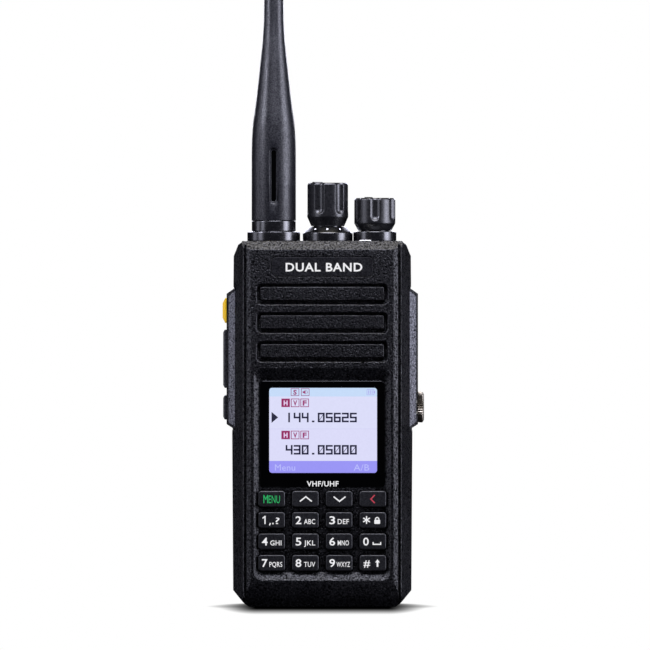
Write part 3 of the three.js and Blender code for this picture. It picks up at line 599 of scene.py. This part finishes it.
# Painted light: the badge's words glow in place of white print under the lamps.
marks("badge_words", "radio_body", "white_ink", FRONT_Y + 0.07,
      [lettering("DUAL BAND", 3.0, 0.6, 116.45, 26.6, 0.022)], "badge")

# ---------------------------------------------------------------- display

LENS_FACE_Y = RECESS_FLOOR_Y - 0.2
lens = loft("display_window", [ring_y(y, 21.75, 41.5, 78.4, 1.5, 8) for y in (LENS_FACE_Y, -14.8)])
smooth(round_edges(lens, 0.18, 3))
dress(lens, "radio_body", "lens", ["display_lens"])

SCREEN_Y = LENS_FACE_Y - 0.03
MARK_Y = SCREEN_Y - 0.02
screen_half_height = (SCREEN_TOP_Z - SCREEN_BOTTOM_Z) / 2
marks("screen", "radio_body", "screen", SCREEN_Y, [
    filled(rounded(18.7, screen_half_height, 1.0, (0.3, SCREEN_BOTTOM_Z + screen_half_height))),
], "display")

# The bars of a segment display's digit, in a cell 1 wide and 2 high.
SEGMENTS = {
    "top": [(0, 2), (1, 2)], "middle": [(0, 1), (1, 1)], "bottom": [(0, 0), (1, 0)],
    "upper_left": [(0, 1), (0, 2)], "upper_right": [(1, 1), (1, 2)],
    "lower_left": [(0, 0), (0, 1)], "lower_right": [(1, 0), (1, 1)],
    "slash": [(0.15, 0.35), (0.85, 1.65)], "point": [(0.42, 0), (0.58, 0)],
}
LEFT = ["upper_left", "lower_left"]
RIGHT = ["upper_right", "lower_right"]
DIGITS = {
    "0": ["top", "bottom", "slash", *LEFT, *RIGHT], "1": RIGHT, "4": ["upper_left", "middle", *RIGHT],
    "2": ["top", "upper_right", "middle", "lower_left", "bottom"],
    "3": ["top", "middle", "bottom", *RIGHT],
    "5": ["top", "upper_left", "middle", "lower_right", "bottom"],
    "6": ["top", "middle", "bottom", "lower_right", *LEFT], ".": ["point"],
}


DIGITS_LEFT_X = -12.4
DIGIT_PITCH = 2.785
DIGIT_WIDTH, DIGIT_HALF_HEIGHT = 1.8, 1.36
BAR_THICKNESS, SLASH_THICKNESS = 0.6, 0.2


def frequency(words, base_z):
    """The bars of a row of digits. A 1 stands in the middle of its cell."""
    shapes = []
    for place, character in enumerate(words):
        x = DIGITS_LEFT_X + DIGIT_PITCH * place
        if character == "1":
            x -= DIGIT_WIDTH / 2
        for part in DIGITS[character]:
            line = [(x + DIGIT_WIDTH * u, base_z + DIGIT_HALF_HEIGHT * v) for u, v in SEGMENTS[part]]
            shapes.append(stroke(line, SLASH_THICKNESS if part == "slash" else BAR_THICKNESS))
    return shapes


navy = frequency("144.05625", 64.35) + frequency("430.05000", 53.15)
navy.append(filled([(-17.6, 63.85), (-15.3, 65.75), (-17.6, 67.65)]))
marks("screen_digits", "radio_body", "screen_navy", MARK_Y, navy, "display")

crimson, pink = [], []
for z in (70.8, 59.65):
    crimson.append(filled(rounded(1.25, 1.25, 0.15, (-12.7, z), 2)))
    for x, letter in ((-12.7, "H"), (-9.4, "V"), (-6.1, "F")):
        pink.append(stroke(rectangle(x - 1.35, z - 1.35, x + 1.35, z + 1.35), 0.26, True))
        if letter != "H":
            pink.append(lettering(letter, 1.75, x, z - 0.88, 1.4, 0.045))
    marks(f"icon_letter_{round(z)}", "radio_body", "screen_pale", MARK_Y - 0.02,
          [lettering("H", 1.6, -12.7, z - 0.8, 1.4, 0.05)], "display")
marks("screen_badges", "radio_body", "screen_crimson", MARK_Y, crimson, "display")
pink.append(stroke(rectangle(-10.8, 73.3, -8.1, 75.7), 0.2, True))
pink.append(lettering("S", 1.6, -9.45, 73.7, 1.2, 0.04))
pink.append(stroke(rectangle(-7.25, 73.3, -4.55, 75.7), 0.2, True))
pink.append(filled([(-6.8, 74.2), (-6.4, 74.2), (-5.8, 73.7), (-5.8, 75.3), (-6.4, 74.8), (-6.8, 74.8)]))
pink.append(stroke([(-5.4, 73.95), (-5.1, 74.5), (-5.4, 75.05)], 0.16))
marks("screen_icons", "radio_body", "screen_pink", MARK_Y, pink, "display")
battery_icon = [
    stroke(rectangle(15.5, 73.6, 17.9, 75.4), 0.15, True),
    filled(rectangle(18.0, 74.1, 18.3, 74.9)),
    *[stroke([(x, 74.0), (x, 75.0)], 0.25) for x in (16.1, 16.7, 17.3)],
]
marks("screen_battery", "radio_body", "screen_violet", MARK_Y, battery_icon, "display")
marks("screen_menu_words", "radio_body", "screen_words", MARK_Y, [
    lettering("Menu", 2.3, -12.9, 47.3, 7.0), lettering("A/B", 2.3, 13.6, 47.3, 5.4),
], "display")
# Painted light: the words on the lens glow in place of white print under the lamps.
marks("lens_words", "radio_body", "white_ink", SCREEN_Y,
      [lettering("VHF/UHF", 1.85, 0.15, 41.85, 11, 0.02)], "lens")

# ---------------------------------------------------------------- keys

KEY_FACE_Y = -17.25
KEY_NAMES = (
    ("key_menu", "key_up", "key_down", "key_back"),
    ("key_1", "key_2", "key_3", "key_star"),
    ("key_4", "key_5", "key_6", "key_0"),
    ("key_7", "key_8", "key_9", "key_hash"),
)


# How far behind the face, how far drawn in and how much rounded a key is at each step, front to back.
KEY_STEPS = (
    (0, 0.5, 0.7), (0.06, 0.25, 0.85), (0.2, 0.08, 0.95), (0.45, 0, 1),
    (3.4, 0, 1), (3.41, -0.6, 1), (4.0, -0.6, 1),
)
KEY_LETTERS = {
    "2": "ABC", "3": "DEF", "4": "GHI", "5": "JKL", "6": "MNO", "7": "PQRS", "8": "TUV", "9": "WXYZ",
}


def key_ring(y, inset, corner, x, z):
    """The key's outline at depth y."""
    outline = rounded(KEY_HALF_WIDTH - inset, KEY_HALF_HEIGHT - inset, corner, (x, z), 5)
    return [(u, y, v) for u, v in outline]


def star_and_lock(x, z):
    """A six-pointed star, and beside it a padlock."""
    shapes = []
    for i in range(3):
        angle = math.radians(90 + 60 * i)
        u, v = 1.15 * math.cos(angle), 1.15 * math.sin(angle)
        shapes.append(stroke([(x - 2.2 - u, z + 0.1 - v), (x - 2.2 + u, z + 0.1 + v)], 0.42))
    lock_x = x + 1.5
    shapes.append(filled(rounded(1.0, 0.72, 0.2, (lock_x, z - 0.55), 2)))
    shackle = [
        (lock_x + 0.62 * math.cos(math.pi * i / 8), z + 0.2 + 0.75 * math.sin(math.pi * i / 8))
        for i in range(9)
    ]
    shapes.append(stroke(shackle, 0.34))
    return shapes


def key_legend(name, x, z):
    """The shapes printed on a key, and their ink."""
    base = z - 1.3
    number = name.removeprefix("key_")
    if number == "1":
        return [
            stroke([(x - 2.3, base + 0.2), (x - 2.3, base + 2.6), (x - 3.0, base + 2.1)], 0.42),
            stroke([(x - 0.5, base + 0.15), (x - 0.7, base - 0.3)], 0.4),
            stroke([(x + 0.45, base + 0.12), (x + 0.45, base + 0.2)], 0.44),
            lettering("?", 2.35, x + 2.05, base, 1.4, 0.004),
        ], "white_ink"
    if number in KEY_LETTERS:
        wide = {"7": 4.5, "9": 4.7}.get(number, 3.9)
        return [
            lettering(number, 2.8, x - 2.4, base, 2.0, 0.014),
            lettering(KEY_LETTERS[number], 1.8, x + 1.45, base, wide, 0.01),
        ], "white_ink"
    if number == "menu":
        left, middle, right = x - 2.7, x - 2.05, x - 1.4
        top = base + 2.6
        letter_m = [(left, base), (left, top), (middle, base + 1.2), (right, top), (right, base)]
        return [stroke(letter_m, 0.27), lettering("ENU", 2.8, x + 0.9, base - 0.1, 3.9)], "green_ink"
    if number in ("up", "down"):
        sign = 1 if number == "up" else -1
        chevron = [(x - 1.75, z - 0.7 * sign), (x + 0.15, z + 0.8 * sign), (x + 2.05, z - 0.7 * sign)]
        return [stroke(chevron, 0.44)], "white_ink"
    if number == "back":
        return [stroke([(x + 0.5, z + 1.25), (x - 0.7, z), (x + 0.5, z - 1.25)], 0.42)], "red_ink"
    if number == "star":
        return star_and_lock(x, z), "white_ink"
    if number == "0":
        left, right, low, high = x + 0.1, x + 2.7, z - 0.95, z - 0.35
        space = stroke([(left, high), (left, low), (right, low), (right, high)], 0.4)
        return [lettering("0", 2.8, x - 2.4, base, 1.95, 0.014), space], "white_ink"
    arrow = filled([
        (x + 1.3, z - 1.3), (x + 1.9, z - 1.3), (x + 1.9, z + 0.2), (x + 2.45, z + 0.2),
        (x + 1.6, z + 1.35), (x + 0.75, z + 0.2), (x + 1.3, z + 0.2),
    ])
    return [lettering("#", 2.6, x - 2.1, z - 1.3, 2.3, 0.012), arrow], "white_ink"


for row, names in enumerate(KEY_NAMES):
    for column, name in enumerate(names):
        x, z = KEY_COLUMNS_X[column], KEY_ROWS_Z[row]
        cap = loft(name + "_cap", [
            key_ring(KEY_FACE_Y + depth, inset, corner, x, z) for depth, inset, corner in KEY_STEPS
        ])
        smooth(cap, 60)
        dress(cap, name, "key", [name])
        shapes, colour = key_legend(name, x, z)
        # The legends glow with painted light, in place of print under the lamps.
        marks(name + "_legend", name, colour, KEY_FACE_Y - 0.02, shapes, "key")

# ---------------------------------------------------------------- antenna

sleeve = lathe("sleeve", [
    (0, 134.1), (7.6, 134.1), (7.7, 134.2), (7.7, 140), (7.68, 158), (7.6, 162), (7.42, 165.4), (7.14, 168.8),
    (6.6, 172.3), (5.95, 177.2), (5.35, 182.7), (4.58, 189.7), (3.87, 196.6), (3.46, 203.5), (3.34, 212),
    (3.22, 250), (3.1, 294), (2.9, 296), (2.4, 297.3), (1.4, 298), (0, 298),
], ANTENNA_X, TOP_ROW_Y, 128)


def slot_outline(half_width, bottom_z, top_z):
    """A long hole with rounded ends in the front of the sleeve."""
    height = (top_z - bottom_z) / 2
    return rounded(half_width, height, half_width * 0.98, (ANTENNA_X, bottom_z + height))


boolean(
    sleeve, "DIFFERENCE",
    prism("slot_wide", slot_outline(1.5, 139.9, 159.3), "Y", -14, TOP_ROW_Y - 7.15),
    prism("slot_deep", slot_outline(0.85, 140.7, 158.5), "Y", -14, TOP_ROW_Y - 5.9),
)
round_edges(sleeve, 0.14, 2, 40)
smooth(sleeve, 60, False)
dress(sleeve, "antenna", "antenna", ["antenna_sleeve"])
# Painted shade: a near-black plate of the lens material in the deep slot's floor, dark where the slot lies in
# shade.
slot_shade = prism("slot_painted_shade", slot_outline(0.83, 140.72, 158.48), "Y", TOP_ROW_Y - 6.6, TOP_ROW_Y - 5.8)
smooth(round_edges(slot_shade, 0.1))
dress(slot_shade, "antenna", "antenna", material="lens")

ring = lathe("sleeve_ring", [
    (0, 133.4), (3.3, 133.4), (3.3, 131.5), (6.5, 131.5), (6.5, 130.4), (7.45, 130.4), (7.6, 130.5),
    (7.65, 130.65), (7.65, 133.75), (7.6, 133.95), (7.55, 134), (0, 134),
], ANTENNA_X, TOP_ROW_Y)
smooth(ring, 40)
dress(ring, "antenna", "gloss_plastic", ["antenna_ring"])


COLLAR_BORE = 3.6


def collar(name, x, profile, node):
    """A turned ring on the top face, with a bore for the shaft or the antenna's foot."""
    bottom_z, top_z = profile[0][1], profile[-1][1]
    obj = lathe(name, [(COLLAR_BORE, bottom_z), *profile, (COLLAR_BORE, top_z)], x, TOP_ROW_Y)
    smooth(obj, 40)
    dress(obj, "radio_body", "gloss_plastic", [node])


collar("antenna_boss", ANTENNA_X, [
    (9.15, 127.1), (9.2, 127.2), (9.2, 129.8), (9.05, 130.15), (8.7, 130.3), (6.2, 130.3), (6.2, 131.2),
], "antenna_collar")
collar("volume_boss", VOLUME_X, [
    (8.65, 127.1), (8.7, 127.2), (8.7, 129.6), (8.62, 129.85), (8.35, 130.1), (6.45, 131.8), (6.2, 132),
    (4.9, 132), (4.9, 133.1),
], "volume_collar")
collar("channel_boss", CHANNEL_X, [
    (7.45, 127.1), (7.5, 127.2), (7.5, 130), (7.4, 130.25), (7.15, 130.4), (4.9, 130.4), (4.9, 131.4),
], "channel_collar")

# Painted shade: a thin shell over the volume collar's sloping face that keeps it dark where it would reflect
# the top light.
index_ring = lathe("volume_cone_painted_shade", [
    (8.3, 130.05), (8.42, 130.18), (6.52, 131.88), (6.4, 131.75),
], VOLUME_X, TOP_ROW_Y)
smooth(index_ring, 40)
dress(index_ring, "radio_body", "gloss_plastic", material="index_ring")

DOT_TURNS = (-36, -1, 35)
DOT_RADIUS = 0.36
DOT_POINTS = 16
DOT_PLACE = {"outward": 7.4, "height": 131.1, "clear": 0.03}
DOT_SLOPE = math.atan2(1.9, 1.7)


def volume_dots():
    """Three round dots on the sloping face of the volume collar, as one flat piece."""
    upright = Vector((0, 0, 1))
    points, faces = [], []
    for turn in DOT_TURNS:
        angle = math.radians(turn)
        outward = Vector((math.sin(angle), -math.cos(angle), 0))
        normal = (outward * math.sin(DOT_SLOPE) + upright * math.cos(DOT_SLOPE)).normalized()
        centre = Vector((VOLUME_X, TOP_ROW_Y, DOT_PLACE["height"]))
        centre += outward * DOT_PLACE["outward"] + normal * DOT_PLACE["clear"]
        side = outward.cross(upright)
        up = normal.cross(side)
        faces.append([len(points) + i for i in range(DOT_POINTS)])
        for i in range(DOT_POINTS):
            around = math.tau * i / DOT_POINTS
            points.append(centre + side * DOT_RADIUS * math.cos(around) + up * DOT_RADIUS * math.sin(around))
    dress(make("volume_dots", points, faces), "radio_body", "gloss_plastic", material="dot_ink")


volume_dots()

# ---------------------------------------------------------------- knobs

KNOB_RADIUS = 7.15
KNOB_POINTS = 240
FLUTE_SPACING = math.pi / 3
FLUTE = {"radius": 2.2, "distance": 8.45, "blend": 0.35}


def fluted_ring(x, z, inset, reach, turn):
    """The knob's outline at height z, drawn in by inset, where a flute's own radius is reach."""
    points = []
    for i in range(KNOB_POINTS):
        angle = math.tau * i / KNOB_POINTS
        offset = (angle - turn + FLUTE_SPACING / 2) % FLUTE_SPACING - FLUTE_SPACING / 2
        across = FLUTE["distance"] * math.sin(offset)
        radius = KNOB_RADIUS
        if abs(across) < reach:
            flute = FLUTE["distance"] * math.cos(offset) - math.sqrt(reach ** 2 - across ** 2)
            closeness = max(0, FLUTE["blend"] - abs(radius - flute)) / FLUTE["blend"]
            radius = min(radius, flute) - FLUTE["blend"] * closeness ** 2 / 4
        radius -= inset
        points.append((x + radius * math.sin(angle), TOP_ROW_Y - radius * math.cos(angle), z))
    return points


def knob(node, x, foot_z, lip_z, full_z, top_z, flute_bottom, turn, pointer_turn):
    """A knob with six rounded flutes, a hollow foot and a short pointer rib on its top."""
    turn = math.radians(turn)
    radius = FLUTE["radius"]
    foot = [
        (2.9, top_z - 4.5), (3.1, top_z - 4.5), (3.1, lip_z + 0.3), (5.2, lip_z + 0.3),
        (5.2, foot_z), (5.6, foot_z), (5.8, foot_z + 0.15),
        (KNOB_RADIUS - 0.15, full_z - 0.15), (KNOB_RADIUS - 0.03, full_z + 0.05),
    ]
    rings = [fluted_ring(x, z, KNOB_RADIUS - r, 0, turn) for r, z in foot]
    rings.append(fluted_ring(x, full_z + 0.3, 0, 0, turn))
    for i in range(13):
        drop = radius * math.cos(math.pi / 2 * i / 12)
        z = flute_bottom + radius - drop
        if z > full_z + 0.3:
            rings.append(fluted_ring(x, z, 0, math.sqrt(radius ** 2 - drop ** 2), turn))
    for inset, drop in ((0, 0.9), (0.06, 0.6), (0.2, 0.3), (0.45, 0.05), (0.5, 0)):
        rings.append(fluted_ring(x, top_z - drop, inset, radius, turn))
    obj = loft(node + "_body", rings)
    smooth(obj, 32)
    dress(obj, node, "gloss_plastic", [node], "knob")
    angle = math.radians(pointer_turn)
    rib = loft(node + "_body_pointer", [rib_outline(x, angle, z) for z in (top_z - 0.1, top_z + 0.3)])
    smooth(rib)
    dress(rib, node, "gloss_plastic", material="knob")


def rib_outline(x, angle, z):
    """The outline of a short rib that runs outwards from a knob's middle, at height z."""
    outward, side = (math.sin(angle), -math.cos(angle)), (math.cos(angle), math.sin(angle))
    return [
        (x + u * outward[0] + v * side[0], TOP_ROW_Y + u * outward[1] + v * side[1], z)
        for u, v in rectangle(2.6, -0.6, 6.2, 0.6)
    ]


knob("volume_knob", VOLUME_X, foot_z=132.2, lip_z=133.1, full_z=135.3, top_z=147.3,
     flute_bottom=136, turn=-24, pointer_turn=-54)
knob("channel_knob", CHANNEL_X, foot_z=130.6, lip_z=131.4, full_z=133.1, top_z=142,
     flute_bottom=133.6, turn=0, pointer_turn=-30)

# ---------------------------------------------------------------- painted highlight strips on the side pads

PAD_INNER = Vector((30.4, -11.1, 0))
PAD_OUTER = Vector((32.9, -8.7, 0))
PAD_BOTTOM_Z, PAD_TOP_Z = 61.5, 110.7
STRIP_MARGIN = 0.5


def pad_strip(name, body, side):
    """A thin strip of painted highlight on the pad's sloping front, a much lighter copy of the pad's plastic,
    that ends short of the slope's outer edge and ends.
    """
    across = (PAD_OUTER - PAD_INNER).normalized()
    outwards = Vector((across.y, -across.x, 0))
    width = (PAD_OUTER - PAD_INNER).length - STRIP_MARGIN
    corners = [
        (0, PAD_BOTTOM_Z + 1.0), (width, PAD_BOTTOM_Z + 2.6),
        (width, PAD_TOP_Z - 2.9), (0, PAD_TOP_Z - 1.1),
    ]
    rings = []
    for rise in (-0.3, 0.05):
        places = [PAD_INNER + across * u + outwards * rise + Vector((0, 0, z)) for u, z in corners]
        rings.append([(side * place.x, place.y, place.z) for place in places])
    strip = loft(name, rings)
    smooth(strip)
    dress(strip, body, "pad", material="pad_strip")


pad_strip("left_painted_highlight_strip", "radio_body", -1)
pad_strip("right_painted_highlight_strip", "accessory_cover", 1)

# ---------------------------------------------------------------- thumb screw

TEETH = 40
THUMB_SCREW_Z = 69.2
# Where a ring stands, how wide it is and how deep its knurling is, from the inside outwards.
THUMB_SCREW_RINGS = (
    (27.65, 1.5, 0), (33.05, 1.5, 0), (33.05, 4.9, 0), (33.25, 5.3, 0.4),
    (34.8, 5.4, 0.45), (35.15, 5.0, 0.15), (35.4, 4.5, 0), (35.4, 2.4, 0),
)


def screw_ring(x, radius, depth):
    """A knurled outline around the screw's line at this x."""
    points = []
    for i in range(4 * TEETH):
        angle = math.tau * i / (4 * TEETH)
        r = radius - depth * (0.5 - 0.5 * math.cos(TEETH * angle))
        points.append((x, SIDE_CENTRE_Y + r * math.cos(angle), THUMB_SCREW_Z + r * math.sin(angle)))
    return points


thumb = loft("thumb_screw_head", [screw_ring(*ring) for ring in THUMB_SCREW_RINGS])
smooth(thumb, 30)
dress(thumb, "thumb_screw", "bronze", ["thumb_screw"])

# ---------------------------------------------------------------- CAD nodes that are shown as they are

def show_cad(obj, material):
    """Shows a CAD node itself, with its material and slightly rounded edges."""
    obj.data.materials.clear()
    obj.data.materials.append(material)
    weld = obj.modifiers.new("weld", "WELD")
    weld.merge_threshold = SAME_POINT
    flatten = obj.modifiers.new("flatten", "DECIMATE")
    flatten.decimate_type = "DISSOLVE"
    flatten.angle_limit = math.radians(1)
    bevel = obj.modifiers.new("bevel", "BEVEL")
    bevel.width = 0.2 * MM
    bevel.segments = 2
    bevel.limit_method = "ANGLE"
    bevel.angle_limit = math.radians(32)
    for polygon in obj.data.polygons:
        polygon.use_smooth = True
    weigh_normals(obj, False)


slot_of = {row["node"]: row["material_slot"] for row in frame["record"]["subparts"]}
for name, obj in frame["nodes"].items():
    if not obj.hide_render:
        show_cad(obj, MATERIALS[slot_of[name]])

# ---------------------------------------------------------------- contact shadow

SHADOW_TOP_Z = -0.4
SHADOW_CORE_X, SHADOW_FADE_X, SHADOW_FADE_Y = 22.5, 18.2, 14
SHADOW_SLOPE = 0.1175
SHADOW_TAPER = 0.9
SHADOW_FULL_SHARE = 0.04
SHADOW_CURVE = 0.55
SHEET_HALF_WIDTH, SHEET_FRONT_Y, SHEET_BACK_Y = 60, FRONT_Y - 20, 45


def shadow_material():
    """Black under the radio that fades to nothing around it.

    Beside the radio it reaches less far near the front and the back than at the middle.
    """
    material = bpy.data.materials.new("ground_shadow")
    material.use_nodes = True
    tree = material.node_tree
    tree.nodes.clear()
    link = tree.links.new

    def calculated(operation, *values):
        """The result of a sum whose numbers are constants or other nodes' outputs."""
        node = tree.nodes.new("ShaderNodeMath")
        node.operation = operation
        for socket, value in zip(node.inputs, values):
            if isinstance(value, (int, float)):
                socket.default_value = value
            else:
                link(value, socket)
        return node.outputs[0]

    def beyond(position, low, high, fade):
        """How far a position lies outside low to high, as a share of the fade length."""
        below = calculated("SUBTRACT", low * MM, position)
        above = calculated("SUBTRACT", position, high * MM)
        outside = calculated("MAXIMUM", calculated("MAXIMUM", below, above), 0)
        return calculated("DIVIDE", outside, fade * MM)

    coordinates = tree.nodes.new("ShaderNodeTexCoord")
    parts = tree.nodes.new("ShaderNodeSeparateXYZ")
    link(coordinates.outputs["Object"], parts.inputs[0])
    beside = beyond(parts.outputs["X"], -SHADOW_CORE_X, SHADOW_CORE_X, SHADOW_FADE_X)
    before = beyond(parts.outputs["Y"], FRONT_Y, BATTERY_BACK_Y, SHADOW_FADE_Y)
    off_centre = calculated("DIVIDE", parts.outputs["Y"], BATTERY_BACK_Y * MM)
    taper = calculated("MULTIPLY_ADD", calculated("MULTIPLY", off_centre, off_centre), SHADOW_TAPER, 1)
    across = calculated("MULTIPLY", calculated("MULTIPLY", beside, beside), taper)
    away = calculated("SQRT", calculated("MULTIPLY_ADD", before, before, across))
    fade = tree.nodes.new("ShaderNodeMapRange")
    fade.interpolation_type = "SMOOTHSTEP"
    fade.inputs["From Min"].default_value = SHADOW_FULL_SHARE
    fade.inputs["From Max"].default_value = 1.0
    fade.inputs["To Min"].default_value = 1.0
    fade.inputs["To Max"].default_value = 0.0
    link(away, fade.inputs["Value"])
    clear = tree.nodes.new("ShaderNodeBsdfTransparent")
    dark = tree.nodes.new("ShaderNodeEmission")
    dark.inputs["Color"].default_value = (0, 0, 0, 1)
    mix = tree.nodes.new("ShaderNodeMixShader")
    output = tree.nodes.new("ShaderNodeOutputMaterial")
    link(calculated("POWER", fade.outputs["Result"], SHADOW_CURVE), mix.inputs["Fac"])
    link(clear.outputs["BSDF"], mix.inputs[1])
    link(dark.outputs["Emission"], mix.inputs[2])
    link(mix.outputs["Shader"], output.inputs["Surface"])
    return material


def contact_shadow():
    """The sheet that carries the shadow, level under the radio and sloping down a little in front of it."""
    front_z = SHADOW_TOP_Z - SHADOW_SLOPE * (FRONT_Y - SHEET_FRONT_Y)
    rows = [(SHEET_FRONT_Y, front_z), (FRONT_Y, SHADOW_TOP_Z), (SHEET_BACK_Y, SHADOW_TOP_Z)]
    points = [Vector((x, y, z)) * MM for y, z in rows for x in (-SHEET_HALF_WIDTH, SHEET_HALF_WIDTH)]
    mesh = bpy.data.meshes.new("ground_shadow")
    mesh.from_pydata(points, [], [[0, 1, 3, 2], [2, 3, 5, 4]])
    mesh.materials.append(shadow_material())
    obj = placed("ground_shadow", mesh)
    obj.visible_diffuse = False
    obj.visible_glossy = False
    obj.visible_shadow = False


contact_shadow()

# ---------------------------------------------------------------- light and camera

WORLD_LIGHT = 0.004
COOL = (0.94, 0.95, 1.14)
WARM = (1, 0.94, 0.8)
CAMERA_DISTANCE = 2.6
VIEW_WIDTH = 0.22536
VIEW_CENTRE_X, VIEW_CENTRE_Z = 0.00095, 0.0978


def white_world():
    """A background that looks pure white and hardly lights the radio."""
    world = bpy.data.worlds.new("white_world")
    bpy.context.scene.world = world
    world.use_nodes = True
    tree = world.node_tree
    faint = tree.nodes["Background"]
    bright = tree.nodes.new("ShaderNodeBackground")
    for background, strength in ((faint, WORLD_LIGHT), (bright, 1.0)):
        background.inputs["Color"].default_value = (1, 1, 1, 1)
        background.inputs["Strength"].default_value = strength
    path = tree.nodes.new("ShaderNodeLightPath")
    mix = tree.nodes.new("ShaderNodeMixShader")
    tree.links.new(path.outputs["Is Camera Ray"], mix.inputs["Fac"])
    tree.links.new(faint.outputs["Background"], mix.inputs[1])
    tree.links.new(bright.outputs["Background"], mix.inputs[2])
    tree.links.new(mix.outputs["Shader"], tree.nodes["World Output"].inputs["Surface"])


def softbox(name, azimuth, elevation, distance, width, height, power, color=COOL, aim_z=0.1):
    """A rectangular light aimed at the radio's axis at height aim_z, in metres and watts.

    Azimuth 0 is in front of the radio and 90 at its right.
    """
    target = Vector((0, 0, aim_z))
    a, e = math.radians(azimuth), math.radians(elevation)
    place = target + distance * Vector((math.sin(a) * math.cos(e), -math.cos(a) * math.cos(e), math.sin(e)))
    data = bpy.data.lights.new(name, "AREA")
    data.shape = "RECTANGLE"
    data.size, data.size_y = width, height
    data.energy = power
    data.color = color
    obj = placed(name, data)
    obj.location = place
    obj.rotation_mode = "QUATERNION"
    obj.rotation_quaternion = (target - place).to_track_quat("-Z", "Y")
    obj.visible_camera = False


def add_camera():
    """A level camera in front of the radio that sees VIEW_WIDTH metres across at its front face."""
    data = bpy.data.cameras.new("camera")
    data.sensor_width = 36
    data.lens = data.sensor_width * (CAMERA_DISTANCE + FRONT_Y * MM) / VIEW_WIDTH
    data.clip_start, data.clip_end = 0.05, 20
    obj = placed("camera", data)
    obj.location = (VIEW_CENTRE_X, -CAMERA_DISTANCE, VIEW_CENTRE_Z)
    obj.rotation_euler = (math.pi / 2, 0, 0)
    bpy.context.scene.camera = obj


white_world()
softbox("left_front_strip", -60, 8, 0.8, 0.24, 0.8, 1.3)
softbox("left_strip", -90, 8, 0.8, 0.24, 0.8, 1.0)
softbox("antenna_strip", -64, 12, 0.3, 0.06, 0.12, 0.4, aim_z=0.22)
softbox("right_front_strip", 65, 10, 0.8, 0.3, 0.8, 5.2)
softbox("right_strip", 80, 10, 0.8, 0.3, 0.8, 2.5)
softbox("near_front_box", 3, 50, 0.27, 0.18, 0.07, 0.45)
softbox("front_top_box", 3, 60, 0.42, 0.35, 0.14, 1.2)
softbox("back_box", 180, 24, 0.8, 0.7, 0.4, 8)
softbox("top_box", 0, 86, 0.7, 0.5, 0.3, 2.4, WARM)
add_camera()
bpy.context.scene.view_settings.view_transform = "Standard"
bpy.context.scene.view_settings.look = "None"
